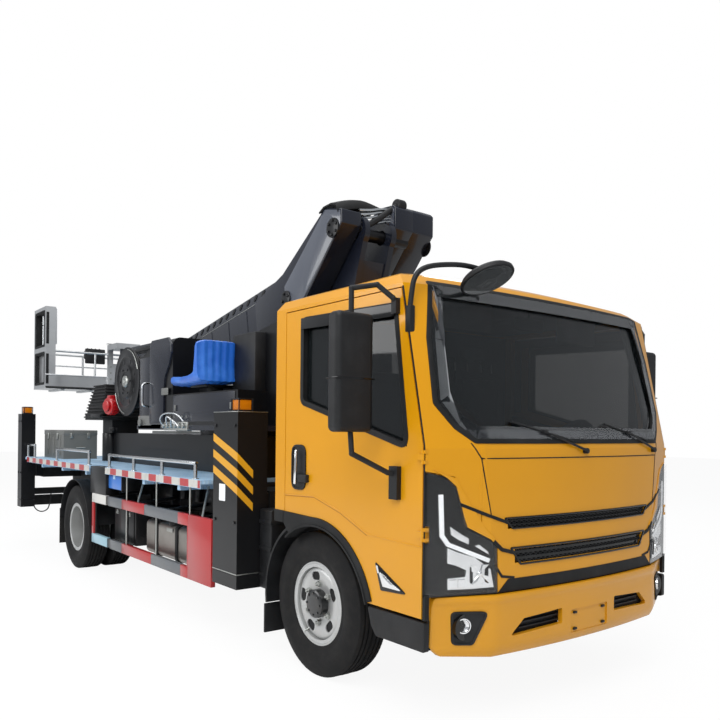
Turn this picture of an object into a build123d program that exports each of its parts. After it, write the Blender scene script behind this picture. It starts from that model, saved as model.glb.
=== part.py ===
from build123d import *
import math
import os

# Cherry picker truck: a forward-control lorry with a telescopic boom behind its cab.
# Millimetres. X points to the front, Y to the truck's left, Z up, and the origin
# is on the ground under the middle of the overall box.

# ---------------------------------------------------------------- driving sizes
overall_length = 7650
front_overhang = 1160
wheelbase = 4100
running_gap = 0.3
panel_gap = 6

# wheels and tyres
wheel_radius = 415
tyre_width = 236
rim_radius = 215
rim_half_width = 88
flange_radius = 235
flange_width = 12
rim_wall = 8
front_wheel_y = 860
rear_outer_y = 976
rear_inner_y = 714
lug_circle_radius = 111.1
lug_count = 6
hand_hole_count = 5
hub_radius = 77.5
hub_reach = 108
spindle_radius = 30
bearing_gap = 0.05
drum_radius = 158

# chassis
rail_outer_y = 430
rail_inner_y = 360
rail_bottom_z = 600
rail_top_z = 800
rail_wall = 8
kingpin_y = 738
kingpin_radius = 20
kingpin_boss_radius = 42
subframe_top_z = 1020
deck_thickness = 30
deck_half_width = 1075
deck_edge_height = 60

# cab
cab_half_width = 1030
cab_rear_reach = 339
cab_wall = 60
floor_bottom_z = 865
floor_top_z = 900
panel_bottom_z = 640
windscreen_bottom_z = 1340
door_front_reach = 972
door_rear_reach = -233
door_bottom_z = 532
door_top_z = 2105
glass_thickness = 6

# outrigger legs
front_leg_rear_reach = -984
front_leg_front_reach = -651
rear_leg_rear_reach = -6340
rear_leg_front_reach = -6160
leg_outer_y = 1120

# turret and boom
slew_reach = -2330
pivot_reach = -737
pivot_z = 2840
boom_slope = 10.3
boom_half_width = 333
arm_width = 178
boom_top_w = -91
boom_bottom_w = -520
boom_wall = 10

# basket
basket_half_width = 904
basket_depth = 530
basket_floor_z = 1895
basket_guard_top_z = 2900

# ------------------------------------------------------------- derived positions
front_axle_x = overall_length / 2 - front_overhang
rear_axle_x = front_axle_x - wheelbase


def ahead(reach):
    """Turns a reach in front of the front axle into a place along X."""
    return front_axle_x + reach


deck_top_z = subframe_top_z + deck_thickness
slew_x = ahead(slew_reach)
pivot_x = ahead(pivot_reach)
boom_cos = math.cos(math.radians(boom_slope))
boom_sin = math.sin(math.radians(boom_slope))

os.makedirs("parts", exist_ok=True)


# ------------------------------------------------------------------ small helpers
def save(piece, name):
    """Labels a finished piece and writes it."""
    piece.part.label = name
    export_step(piece.part, f"parts/{name}.step")


def block(x_low, x_high, y_low, y_high, z_low, z_high, mode=Mode.ADD):
    """A box between two corners."""
    with Locations(((x_low + x_high) / 2, (y_low + y_high) / 2, (z_low + z_high) / 2)):
        Box(x_high - x_low, y_high - y_low, z_high - z_low, mode=mode)


def rod_x(x_low, x_high, y, z, radius, mode=Mode.ADD):
    """A cylinder along X."""
    with Locations(((x_low + x_high) / 2, y, z)):
        Cylinder(radius, x_high - x_low, rotation=(0, 90, 0), mode=mode)


def rod_y(x, y_low, y_high, z, radius, mode=Mode.ADD):
    """A cylinder along Y."""
    with Locations((x, (y_low + y_high) / 2, z)):
        Cylinder(radius, y_high - y_low, rotation=(90, 0, 0), mode=mode)


def rod_z(x, y, z_low, z_high, radius, mode=Mode.ADD):
    """A cylinder along Z."""
    with Locations((x, y, (z_low + z_high) / 2)):
        Cylinder(radius, z_high - z_low, mode=mode)


def both(side, inner, outer):
    """The low and high places along Y of something on one side."""
    return min(side * inner, side * outer), max(side * inner, side * outer)


def side_plate(points, y_low, y_high, mode=Mode.ADD):
    """A plate with an outline of (x, z) points, between two places along Y."""
    with BuildSketch(Plane.XZ.offset(-y_high)) as outline:
        with BuildLine():
            Polyline(*points, close=True)
        make_face()
    extrude(outline.sketch, amount=y_high - y_low, mode=mode)


def front_plate(points, x_low, x_high, mode=Mode.ADD):
    """A plate with an outline of (y, z) points, between two places along X."""
    with BuildSketch(Plane.YZ.offset(x_low)) as outline:
        with BuildLine():
            Polyline(*points, close=True)
        make_face()
    extrude(outline.sketch, amount=x_high - x_low, mode=mode)


def boom_point(u, w):
    """The (x, z) of a point u along the boom from its pivot and w above the axis."""
    return (pivot_x - boom_cos * u - boom_sin * w, pivot_z - boom_sin * u + boom_cos * w)


def boom_tube(u_low, u_high, half_width, w_low, w_high, mode=Mode.ADD):
    """A box that lies along the boom."""
    corners = [(u_low, w_low), (u_low, w_high), (u_high, w_high), (u_high, w_low)]
    side_plate([boom_point(u, w) for u, w in corners], -half_width, half_width, mode)


# ------------------------------------------------------------------------ wheels
def tyre(axle_x, centre_y):
    """One tyre round a wheel centre, as a closed ring."""
    bead = rim_half_width - flange_width - running_gap
    bore = rim_radius + running_gap
    with BuildSketch(Plane.XY.offset(wheel_radius)) as profile:
        with BuildLine():
            Polyline(
                (axle_x + bore, centre_y + bead),
                (axle_x + bore, centre_y - bead),
                (axle_x + flange_radius + 4, centre_y - bead),
                (axle_x + flange_radius + 10, centre_y - rim_half_width - 6),
            )
            ThreePointArc(
                (axle_x + flange_radius + 10, centre_y - rim_half_width - 6),
                (axle_x + 330, centre_y - tyre_width / 2),
                (axle_x + wheel_radius - 14, centre_y - 96),
            )
            Line(
                (axle_x + wheel_radius - 14, centre_y - 96),
                (axle_x + wheel_radius, centre_y - 80),
            )
            Line((axle_x + wheel_radius, centre_y - 80), (axle_x + wheel_radius, centre_y + 80))
            Line(
                (axle_x + wheel_radius, centre_y + 80),
                (axle_x + wheel_radius - 14, centre_y + 96),
            )
            ThreePointArc(
                (axle_x + wheel_radius - 14, centre_y + 96),
                (axle_x + 330, centre_y + tyre_width / 2),
                (axle_x + flange_radius + 10, centre_y + rim_half_width + 6),
            )
            Polyline(
                (axle_x + flange_radius + 10, centre_y + rim_half_width + 6),
                (axle_x + flange_radius + 4, centre_y + bead),
                (axle_x + bore, centre_y + bead),
            )
        make_face()
    revolve(profile.sketch, axis=Axis((axle_x, 0, wheel_radius), (0, 1, 0)))


def turned(axle_x, centre_y, outward, points, mode=Mode.ADD):
    """A ring turned from (offset outward, radius) points round a wheel centre."""
    places = [(axle_x + radius, centre_y + outward * offset) for offset, radius in points]
    with BuildSketch(Plane.XY.offset(wheel_radius)) as profile:
        with BuildLine():
            Polyline(*places, close=True)
        make_face()
    revolve(profile.sketch, axis=Axis((axle_x, 0, wheel_radius), (0, 1, 0)), mode=mode)


barrel_inner = rim_radius - rim_wall
flange_inner = rim_half_width - flange_width
# columns: offset outward from the rim's centre, radius
barrel_profile = [
    (-rim_half_width, barrel_inner),
    (-rim_half_width, flange_radius),
    (-flange_inner, flange_radius),
    (-flange_inner, rim_radius),
    (flange_inner, rim_radius),
    (flange_inner, flange_radius),
    (rim_half_width, flange_radius),
    (rim_half_width, barrel_inner),
]
front_disc_profile = [
    (22, barrel_inner + 2),
    (38, barrel_inner + 2),
    (64, 158),
    (64, hub_radius - 5),
    (52, hub_radius - 5),
    (52, 152),
]
front_disc_face = 64
dual_offset = (rear_outer_y - rear_inner_y) / 2
rear_disc_profile = [
    (-62, barrel_inner + 2),
    (-46, barrel_inner + 2),
    (-dual_offset + 12, 156),
    (-dual_offset + 12, hub_radius - 5),
    (-dual_offset, hub_radius - 5),
    (-dual_offset, 162),
]


def hand_holes(axle_x, y_low, y_high):
    """Cuts the oval holes round a wheel disc, each as wide as two drillings."""
    for number in range(hand_hole_count):
        for spread in (-6, 6):
            angle = math.radians(90 + spread + number * 360 / hand_hole_count)
            x = axle_x + 181 * math.cos(angle)
            with Locations((x, (y_low + y_high) / 2, wheel_radius + 181 * math.sin(angle))):
                Cylinder(15, abs(y_high - y_low), rotation=(90, 0, 0), mode=Mode.SUBTRACT)


def lug_nuts(axle_x, face_y, outward):
    """The ring of hexagonal nuts on a wheel disc."""
    for number in range(lug_count):
        angle = math.radians(30 + number * 360 / lug_count)
        x = axle_x + lug_circle_radius * math.cos(angle)
        z = wheel_radius + lug_circle_radius * math.sin(angle)
        low = min(face_y - outward, face_y + 24 * outward)
        high = max(face_y - outward, face_y + 24 * outward)
        rod_y(x, low, high, z, 15)


for side_name, side in (("left", 1), ("right", -1)):
    # front wheel: rim, disc, hub and brake drum in one, turning on the knuckle's spindle
    centre = side * front_wheel_y
    with BuildPart() as rim_front:
        turned(front_axle_x, centre, side, barrel_profile)
        turned(front_axle_x, centre, side, front_disc_profile)
        near = min(centre + 10 * side, centre + 80 * side)
        hand_holes(front_axle_x, near, near + 70)
        hub_low = min(centre - 62 * side, centre + hub_reach * side)
        rod_y(front_axle_x, hub_low, hub_low + 62 + hub_reach, wheel_radius, hub_radius)
        drum_low = min(centre - 62 * side, centre - 6 * side)
        rod_y(front_axle_x, drum_low, drum_low + 56, wheel_radius, drum_radius)
        lug_nuts(front_axle_x, centre + front_disc_face * side, side)
        bore_low = min(centre - 62 * side, centre + 60 * side)
        bore_radius = spindle_radius + bearing_gap
        rod_y(front_axle_x, bore_low, bore_low + 122, wheel_radius, bore_radius, Mode.SUBTRACT)
    save(rim_front, f"rim_front_{side_name}")

    with BuildPart() as tyre_front:
        tyre(front_axle_x, centre)
    save(tyre_front, f"tyre_front_{side_name}")

    # rear wheels: two rims bolted back to back on one hub
    outer = side * rear_outer_y
    inner = side * rear_inner_y
    with BuildPart() as rim_rear:
        turned(rear_axle_x, outer, side, barrel_profile)
        turned(rear_axle_x, outer, side, rear_disc_profile)
        turned(rear_axle_x, inner, -side, barrel_profile)
        turned(rear_axle_x, inner, -side, rear_disc_profile)
        hole_low = min(outer - (dual_offset + 20) * side, outer - 40 * side)
        hand_holes(rear_axle_x, hole_low, hole_low + dual_offset - 20)
        hub_low = min(inner - 74 * side, outer - 20 * side)
        hub_length = rear_outer_y - rear_inner_y + 54
        rod_y(rear_axle_x, hub_low, hub_low + hub_length, wheel_radius, hub_radius)
        drum_low = min(inner - 74 * side, inner + 26 * side)
        rod_y(rear_axle_x, drum_low, drum_low + 100, wheel_radius, drum_radius + 20)
        lug_nuts(rear_axle_x, outer + (-dual_offset + 12) * side, side)
        bore_low = min(inner - 74 * side, inner + 126 * side)
        bore_radius = 1.5 * spindle_radius + bearing_gap
        rod_y(rear_axle_x, bore_low, bore_low + 200, wheel_radius, bore_radius, Mode.SUBTRACT)
    save(rim_rear, f"rim_rear_{side_name}")

    with BuildPart() as tyres_rear:
        tyre(rear_axle_x, outer)
        tyre(rear_axle_x, inner)
    save(tyres_rear, f"tyres_rear_{side_name}")

    # steering knuckle: kingpin, fork round the beam's end, brake plate and spindle
    with BuildPart() as knuckle:
        pin_y = side * kingpin_y
        rod_z(front_axle_x, pin_y, wheel_radius - 95, wheel_radius + 95, kingpin_radius)
        for z in (wheel_radius - 78, wheel_radius + 78):
            rod_z(front_axle_x, pin_y, z - 14, z + 14, kingpin_boss_radius)
            fork_low = min(pin_y, side * 790)
            fork_high = max(pin_y, side * 790)
            block(front_axle_x - 35, front_axle_x + 35, fork_low, fork_high, z - 14, z + 14)
        plate_low = min(side * (front_wheel_y - 68), side * (front_wheel_y - 74))
        rod_y(front_axle_x, plate_low, plate_low + 6, wheel_radius, drum_radius - 8)
        spindle_low = min(side * (front_wheel_y - 74), side * (front_wheel_y + 50))
        rod_y(front_axle_x, spindle_low, spindle_low + 124, wheel_radius, spindle_radius)
        block(
            front_axle_x - 35,
            front_axle_x + 35,
            min(side * 781, side * 790),
            max(side * 781, side * 790),
            wheel_radius - 92,
            wheel_radius + 92,
        )
    save(knuckle, f"knuckle_{side_name}")


# ----------------------------------------------------------------------- chassis
beam_top_z = 400
housing_low_z = rail_top_z
rail_front_reach = 1010
rail_rear_reach = -6420
front_housing_top_z = 1010
beam_height = 150
beam_width = 150

with BuildPart() as chassis_frame:
    for side in (1, -1):
        outline = [
            (rail_inner_y, rail_bottom_z),
            (rail_outer_y, rail_bottom_z),
            (rail_outer_y, rail_top_z),
            (rail_inner_y, rail_top_z),
            (rail_inner_y, rail_top_z - rail_wall),
            (rail_outer_y - rail_wall, rail_top_z - rail_wall),
            (rail_outer_y - rail_wall, rail_bottom_z + rail_wall),
            (rail_inner_y, rail_bottom_z + rail_wall),
        ]
        points = [(side * y, z) for y, z in outline]
        front_plate(points, ahead(rail_rear_reach), ahead(rail_front_reach))
    web_y = rail_outer_y - rail_wall
    for reach in (950, -1080, -2200, -3300, -4850, -5600, -6380):
        x = ahead(reach)
        block(x - 35, x + 35, -web_y, web_y, rail_bottom_z + 40, rail_top_z - 40)
    for reach in (-290, 830):
        for side in (1, -1):
            y = side * (rail_inner_y + rail_outer_y) / 2
            x = ahead(reach)
            block(x - 45, x + 45, y - 30, y + 30, rail_top_z, floor_bottom_z)
    # rear underrun bar on two hangers
    for side in (1, -1):
        y = side * (rail_outer_y - 30)
        block(ahead(-6415), ahead(-6375), y - 30, y + 30, 430, rail_bottom_z)
    block(ahead(-6455), ahead(-6415), -1000, 1000, 430, 540)
    # cross housings of the outrigger beams, two bays each
    # columns: rear reach, front reach, top height
    for rear_reach, front_reach in (
        (front_leg_rear_reach, front_leg_front_reach),
        (rear_leg_rear_reach - 75, rear_leg_front_reach + 75),
    ):
        x_low = ahead(rear_reach)
        x_high = ahead(front_reach)
        x_mid = (x_low + x_high) / 2
        block(x_low, x_high, -880, 880, housing_low_z, front_housing_top_z)
        for bay_low, bay_high in ((x_low + 10, x_mid - 5), (x_mid + 5, x_high - 10)):
            block(
                bay_low,
                bay_high,
                -880,
                880,
                housing_low_z + 12,
                front_housing_top_z - 12,
                Mode.SUBTRACT,
            )
save(chassis_frame, "chassis_frame")

with BuildPart() as engine_block:
    block(ahead(-330), ahead(430), -310, 310, 480, 835)
    for side in (1, -1):
        low = min(side * 300, side * (rail_outer_y - rail_wall))
        high = max(side * 300, side * (rail_outer_y - rail_wall))
        block(ahead(60), ahead(160), low, high, 650, 750)
    block(ahead(-900), ahead(-330), -170, 170, 480, 780)
save(engine_block, "engine_block")

with BuildPart() as front_axle:
    beam = [
        (-kingpin_y, 375),
        (-kingpin_y, 455),
        (-600, 455),
        (-500, beam_top_z),
        (500, beam_top_z),
        (600, 455),
        (kingpin_y, 455),
        (kingpin_y, 375),
        (620, 375),
        (520, 320),
        (-520, 320),
        (-620, 375),
    ]
    front_plate(beam, front_axle_x - 40, front_axle_x + 40)
    for side in (1, -1):
        low = wheel_radius - 60
        high = wheel_radius + 60
        rod_z(front_axle_x, side * kingpin_y, low, high, kingpin_boss_radius)
        bore = kingpin_radius + bearing_gap
        rod_z(front_axle_x, side * kingpin_y, low, high, bore, Mode.SUBTRACT)
save(front_axle, "front_axle")

spring_y = (rail_inner_y + rail_outer_y) / 2
with BuildPart() as leaf_springs:
    # columns: axle place, seat height
    for axle_x, seat_z in ((front_axle_x, beam_top_z), (rear_axle_x, wheel_radius + 60)):
        for side in (1, -1):
            spring = [
                (axle_x - 640, rail_bottom_z),
                (axle_x - 640, rail_bottom_z - 45),
                (axle_x - 90, seat_z),
                (axle_x + 90, seat_z),
                (axle_x + 640, rail_bottom_z - 45),
                (axle_x + 640, rail_bottom_z),
                (axle_x + 560, rail_bottom_z),
                (axle_x + 560, rail_bottom_z - 20),
                (axle_x + 90, seat_z + 55),
                (axle_x - 90, seat_z + 55),
                (axle_x - 560, rail_bottom_z - 20),
                (axle_x - 560, rail_bottom_z),
            ]
            side_plate(spring, side * spring_y - 35, side * spring_y + 35)
save(leaf_springs, "leaf_springs")

with BuildPart() as rear_axle:
    tube_y = rear_inner_y - 74 - 8
    rod_y(rear_axle_x, -tube_y, tube_y, wheel_radius, 60)
    spindle_y = rear_inner_y + 116
    rod_y(rear_axle_x, -spindle_y, spindle_y, wheel_radius, 1.5 * spindle_radius)
    rod_x(rear_axle_x - 120, rear_axle_x + 120, 0, wheel_radius, 165)
    for side in (1, -1):
        y = side * spring_y
        block(
            rear_axle_x - 90, rear_axle_x + 90, y - 35, y + 35, wheel_radius, wheel_radius + 60
        )
        plate_low = min(side * (tube_y - 8), side * tube_y)
        rod_y(rear_axle_x, plate_low, plate_low + 8, wheel_radius, drum_radius + 12)
    shaft_front = (ahead(-900) - running_gap, 0, 560)
    shaft_rear = (rear_axle_x + 100, 0, wheel_radius)
    shaft_line = Plane(
        origin=shaft_rear, z_dir=(shaft_front[0] - shaft_rear[0], 0, shaft_front[2] - shaft_rear[2])
    )
    shaft_length = math.dist(shaft_front, shaft_rear)
    with BuildSketch(shaft_line):
        Circle(42)
    extrude(amount=shaft_length - 10)
save(rear_axle, "rear_axle")


with BuildPart() as subframe:
    block(ahead(rear_leg_front_reach + 85), ahead(-1000), -rail_outer_y, rail_outer_y,
          rail_top_z, subframe_top_z)
save(subframe, "subframe")

tread_panel_thickness = 3
deck_front_reach = -1278
deck_rear_reach = -6427
with BuildPart() as deck:
    # columns: rear reach, front reach, half width
    for rear_reach, front_reach, half_width in (
        (-3255, deck_front_reach, deck_half_width),
        (-3713, -3255, 960),
        (rear_leg_front_reach + 10, -3713, deck_half_width),
    ):
        block(
            ahead(rear_reach), ahead(front_reach), -half_width, half_width, subframe_top_z,
            deck_top_z,
        )
    for side in (1, -1):
        # folded edges, which stop short of the rear legs' beams
        for rear_reach, front_reach in ((-3255, deck_front_reach),
                                        (rear_leg_front_reach + 80, -3713)):
            low = min(side * (deck_half_width - 6), side * deck_half_width)
            block(
                ahead(rear_reach), ahead(front_reach), low, low + 6,
                deck_top_z - deck_edge_height, deck_top_z,
            )
        for reach in (-1700, -2400, -3100, -3900, -4700, -5500):
            low = min(side * rail_outer_y, side * (deck_half_width - 30))
            high = max(side * rail_outer_y, side * (deck_half_width - 30))
            block(ahead(reach) - 25, ahead(reach) + 25, low, high, subframe_top_z - 70,
                  subframe_top_z)
        low, high = both(side, 600, 1000)
        block(ahead(-5200), ahead(-4300), low, high, deck_top_z, deck_top_z + tread_panel_thickness)
        # low handrails: columns rear reach, front reach, height over the deck
        for rear_reach, front_reach, rise in (
            (-3223, -1394, 115),
            (-4900, -3780, 130),
            (-6140, -5800, 150),
        ):
            y = side * (deck_half_width - 25)
            rail_z = deck_top_z + rise
            rod_x(ahead(rear_reach), ahead(front_reach), y, rail_z, 12)
            spans = 2 if front_reach - rear_reach < 1200 else 4
            for number in range(spans):
                x = ahead(rear_reach) + 12 + (front_reach - rear_reach - 24) * number / (spans - 1)
                rod_z(x, y, deck_top_z, rail_z, 12)
save(deck, "deck")

with BuildPart() as turret_base:
    block(ahead(-4700), ahead(-1290), -560, 560, deck_top_z, 1360)
    rod_z(slew_x, 0, 1360, 1400, 520)
save(turret_base, "turret_base")


# ------------------------------------------------------- side guards, tank, boxes
guard_y = 1060
guard_rear_reach = -3605
guard_front_reach = -1092
with BuildPart() as side_guards:
    for side in (1, -1):
        y_low = side * guard_y - 15
        y_high = side * guard_y + 15
        for z in (330, 710):
            block(ahead(guard_rear_reach), ahead(guard_front_reach), y_low, y_high, z, z + 80)
        for rear_reach, front_reach in (
            (guard_rear_reach, guard_rear_reach + 45),
            (-1467, guard_front_reach),
        ):
            block(ahead(rear_reach), ahead(front_reach), y_low, y_high, 330, 790)
        for reach in (-2730, -2080):
            block(ahead(reach) - 25, ahead(reach) + 25, y_low, y_high, 330, 790)
        for reach in (-3500, -2650, -1300):
            low = min(side * rail_outer_y, side * (guard_y - 15))
            high = max(side * rail_outer_y, side * (guard_y - 15))
            block(ahead(reach) - 25, ahead(reach) + 25, low, high, 725, 775)
save(side_guards, "side_guards")

with BuildPart() as fuel_tank:
    block(ahead(-2556), ahead(-1704), -950, -510, 361, 645)
    fillet(fuel_tank.edges().filter_by(Axis.X), radius=45)
    for reach in (-2400, -1860):
        block(ahead(reach) - 25, ahead(reach) + 25, -520, -rail_outer_y, 610, 700)
        block(ahead(reach) - 25, ahead(reach) + 25, -700, -rail_outer_y, 640, 700)
save(fuel_tank, "fuel_tank")

with BuildPart() as side_boxes:
    # columns: rear reach, front reach, low y, high y, bottom, top
    for rear_reach, front_reach, y_low, y_high, z_low, z_high in (
        (-3300, -2780, -960, -rail_outer_y, 380, 700),
        (-2500, -1700, rail_outer_y, 960, 380, 700),
        (-3300, -2780, rail_outer_y, 960, 380, 700),
    ):
        block(ahead(rear_reach), ahead(front_reach), y_low, y_high, z_low, z_high)
    # toolboxes on the deck
    for side in (1, -1):
        low = min(side * 500, side * 880)
        block(ahead(-6050), ahead(-5250), low, low + 380, deck_top_z, 1380)
save(side_boxes, "storage_boxes")


with BuildPart() as power_pack:
    # columns: bottom, top, half size along x, low y, high y
    for z_low, z_high, half_x, y_low, y_high in (
        (1360, 1500, 150, -620, -330),
        (1500, 1560, 290, -770, -300),
        (1560, 1660, 260, -745, -310),
        (1660, 1760, 225, -720, -320),
        (1760, 1880, 180, -690, -340),
    ):
        x = ahead(-4540)
        block(x - half_x, x + half_x, y_low, y_high, z_low, z_high)
save(power_pack, "power_pack")

mudguard_radius = 472
with BuildPart() as rear_mudguards:
    for side in (1, -1):
        low = min(side * 590, side * 1100)
        rod_y(rear_axle_x, low, low + 510, wheel_radius, mudguard_radius + 6)
        rod_y(rear_axle_x, low, low + 510, wheel_radius, mudguard_radius, Mode.SUBTRACT)
        block(
            rear_axle_x - 600, rear_axle_x + 600, low, low + 510, wheel_radius - 500,
            wheel_radius + 60, Mode.SUBTRACT,
        )
    for side in (1, -1):
        for reach in (-330, 330):
            x = rear_axle_x + reach
            low = min(side * rail_outer_y, side * 595)
            high = max(side * rail_outer_y, side * 595)
            block(x - 20, x + 20, low, high, 740, 780)
save(rear_mudguards, "rear_mudguards")

with BuildPart() as tail_lamps:
    for side in (1, -1):
        low = min(side * 560, side * 900)
        block(ahead(-6475), ahead(-6455), low, low + 340, 440, 530)
save(tail_lamps, "tail_lamps")


# --------------------------------------------------------------------- outriggers
jack_foot_height = 92
# columns: name, rear reach, front reach, foot bottom, top, depth across
leg_table = [
    ("front", front_leg_rear_reach, front_leg_front_reach, 395, 1524, 217),
    ("rear", rear_leg_rear_reach, rear_leg_front_reach, 433, 1576, 160),
]
for leg_name, rear_reach, front_reach, foot_z, top_z, depth in leg_table:
    x_low = ahead(rear_reach)
    x_high = ahead(front_reach)
    margin = 0 if leg_name == "front" else 75
    x_mid = (x_low + x_high) / 2
    for side_name, side in (("left", 1), ("right", -1)):
        y_out = side * leg_outer_y
        y_in = side * (leg_outer_y - depth)
        leg_low = min(y_out, y_in)
        leg_high = max(y_out, y_in)
        tube_bottom_z = foot_z + jack_foot_height
        bay_low = x_low - margin + 10 if side > 0 else x_mid + 5
        bay_high = x_mid - 5 if side > 0 else x_high + margin - 10
        with BuildPart() as outrigger:
            block(x_low, x_high, leg_low, leg_high, tube_bottom_z, top_z)
            beam_low = min(y_in, -side * 760)
            beam_high = max(y_in, -side * 760)
            block(
                bay_low + running_gap, bay_high - running_gap, beam_low, beam_high,
                housing_low_z + 12 + running_gap, front_housing_top_z - 12 - running_gap,
            )
            block(
                x_low + 30, x_high - 30, leg_low + 30, leg_high - 30, tube_bottom_z,
                top_z - 40, Mode.SUBTRACT,
            )
            lamp_mid = (leg_low + leg_high) / 2
            lamp_x = x_mid + 20
            block(lamp_x - 45, lamp_x + 45, lamp_mid - 45, lamp_mid + 45, top_z, top_z + 90)
        save(outrigger, f"outrigger_{leg_name}_{side_name}")
        with BuildPart() as jack:
            block(
                x_low + 30 + running_gap, x_high - 30 - running_gap,
                leg_low + 30 + running_gap, leg_high - 30 - running_gap,
                foot_z + 60, top_z - 300,
            )
            block(x_low, x_high, leg_low, leg_high, foot_z, foot_z + jack_foot_height - 6)
        save(jack, f"jack_{leg_name}_{side_name}")


# ---------------------------------------------------------------------------- cab
# columns: height, half width, side reach, corner reach, corner y, front reach, rear reach
cab_sections = [
    (520, 1030, 985, 1110, 660, 1150, -339),
    (1330, 1030, 985, 1085, 740, 1138, -339),
    (2125, 1030, 812, 845, 895, 885, -339),
    (2180, 985, 740, 775, 860, 830, -320),
    (2225, 860, 600, 640, 760, 700, -240),
]


def cab_faces(inset):
    """The plan sections of the cab, each pulled in by a wall."""
    faces = []
    for height, half, side_reach, corner_reach, corner_y, front_reach, rear_reach in cab_sections:
        level = height - inset * (height - 2125) / 100 if height > 2125 else height - inset * 0.1
        half_in = half - inset
        corner_in = corner_y - inset * 0.6
        with BuildSketch(Plane.XY.offset(level)) as section:
            with BuildLine():
                Polyline(
                    (ahead(side_reach - inset * 0.6), half_in),
                    (ahead(rear_reach + inset), half_in),
                    (ahead(rear_reach + inset), -half_in),
                    (ahead(side_reach - inset * 0.6), -half_in),
                )
                Line(
                    (ahead(side_reach - inset * 0.6), -half_in),
                    (ahead(corner_reach - inset), -corner_in),
                )
                ThreePointArc(
                    (ahead(corner_reach - inset), -corner_in),
                    (ahead(front_reach - inset), 0),
                    (ahead(corner_reach - inset), corner_in),
                )
                Line(
                    (ahead(corner_reach - inset), corner_in),
                    (ahead(side_reach - inset * 0.6), half_in),
                )
            make_face()
        faces.append(section.sketch.face())
    return faces


cab_skins = {}


def cab_skin(inset, mode=Mode.ADD):
    """The cab's body, solid, pulled in by a wall."""
    if inset not in cab_skins:
        with BuildPart(mode=Mode.PRIVATE) as body:
            loft(cab_faces(inset), ruled=True)
        cab_skins[inset] = body.part
    add(cab_skins[inset], mode=mode)


post_front_reach = 1000
post_inner_y = 900
post_outer_y = 972
hinge_reach = door_front_reach + 3
hinge_y = cab_half_width + 9
hinge_radius = 8
hinge_heights = (930, 1290)
arch_reach = 90
arch_z = 385
arch_radius = 487
door_outline = [
    (ahead(door_rear_reach), door_top_z),
    (ahead(806), door_top_z),
    (ahead(door_front_reach), windscreen_bottom_z),
    (ahead(door_front_reach), door_bottom_z),
    (ahead(arch_reach), door_bottom_z),
    (ahead(door_rear_reach), floor_bottom_z),
]
window_outline = [
    (ahead(-56), 2040),
    (ahead(760), 2020),
    (ahead(855), 1335),
    (ahead(-56), 1571),
]


def cut_arches():
    """Opens the wheel arches through the cab's sides."""
    for side in (1, -1):
        low = min(side * 500, side * 1100)
        rod_y(ahead(arch_reach), low, low + 600, arch_z, arch_radius, Mode.SUBTRACT)
    block(ahead(-600), ahead(arch_reach), -1100, 1100, 400, floor_bottom_z, Mode.SUBTRACT)


panel_top_z = windscreen_bottom_z - 10
# where the shell stops above the front panel and the lamps
shell_front_outline = [
    (-756, panel_top_z),
    (-756, 970),
    (-887, 1198),
    (-1100, 1237),
    (-1100, 400),
    (1100, 400),
    (1100, 1237),
    (887, 1198),
    (756, 970),
    (756, panel_top_z),
]
front_panel_outline = [
    (-750, panel_top_z),
    (-750, 966),
    (-662, 871),
    (-662, panel_bottom_z),
    (662, panel_bottom_z),
    (662, 871),
    (750, 966),
    (750, panel_top_z),
]
lamp_outline = [
    (1100, 1231),
    (887, 1192),
    (760, 968),
    (668, 869),
    (668, panel_bottom_z),
    (1100, panel_bottom_z),
]
windscreen_outline = [
    (-855, 2115),
    (855, 2115),
    (905, 1560),
    (725, 1380),
    (-725, 1380),
    (-905, 1560),
]

with BuildPart() as cab_shell:
    cab_skin(0)
    cab_skin(cab_wall, Mode.SUBTRACT)
    block(ahead(-cab_rear_reach + 5), ahead(1000), -990, 990, floor_bottom_z, floor_top_z)
    block(ahead(-600), ahead(1300), -1200, 1200, 400, floor_bottom_z, Mode.SUBTRACT)
    front_plate(shell_front_outline, ahead(door_front_reach + 8), ahead(1300), Mode.SUBTRACT)
    for side in (1, -1):
        low = min(side * (cab_half_width - cab_wall - 1), side * (cab_half_width + 50))
        side_plate(door_outline, low, low + cab_wall + 51, Mode.SUBTRACT)
    front_plate(windscreen_outline, ahead(700), ahead(1300), Mode.SUBTRACT)
    block(ahead(-500), ahead(-250), -420, 420, 1500, 1950, Mode.SUBTRACT)
    # posts that carry the door hinges
    for side in (1, -1):
        low, high = both(side, post_inner_y, post_outer_y)
        block(ahead(door_front_reach + 8), ahead(post_front_reach), low, high,
              floor_bottom_z, windscreen_bottom_z - 10)
        low, high = both(side, 800, 960)
        block(ahead(940), ahead(door_front_reach + 8), low, high, floor_bottom_z, floor_top_z)
        for z in hinge_heights:
            low, high = both(side, post_outer_y - 4, hinge_y)
            block(ahead(hinge_reach + 5), ahead(990), low, high, z - 32, z - 16)
            block(ahead(hinge_reach + 5), ahead(990), low, high, z + 16, z + 32)
            x = ahead(hinge_reach)
            rod_z(x, side * hinge_y, z - 32, z - 16, hinge_radius)
            rod_z(x, side * hinge_y, z + 16, z + 32, hinge_radius)
            rod_z(x, side * hinge_y, z - 32, z + 32, 4)
save(cab_shell, "cab_shell")

# grille slots, columns: height, half width, half height
slot_table = [
    (968, 600, 27),
    (807, 555, 34),
]
with BuildPart() as cab_front_panel:
    cab_skin(0)
    cab_skin(cab_wall, Mode.SUBTRACT)
    front_plate(front_panel_outline, ahead(door_front_reach + 8), ahead(1300), Mode.INTERSECT)
    for z, half, rise in slot_table:
        block(ahead(900), ahead(1300), -half, half, z - rise, z + rise, Mode.SUBTRACT)
save(cab_front_panel, "cab_front_panel")


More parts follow.
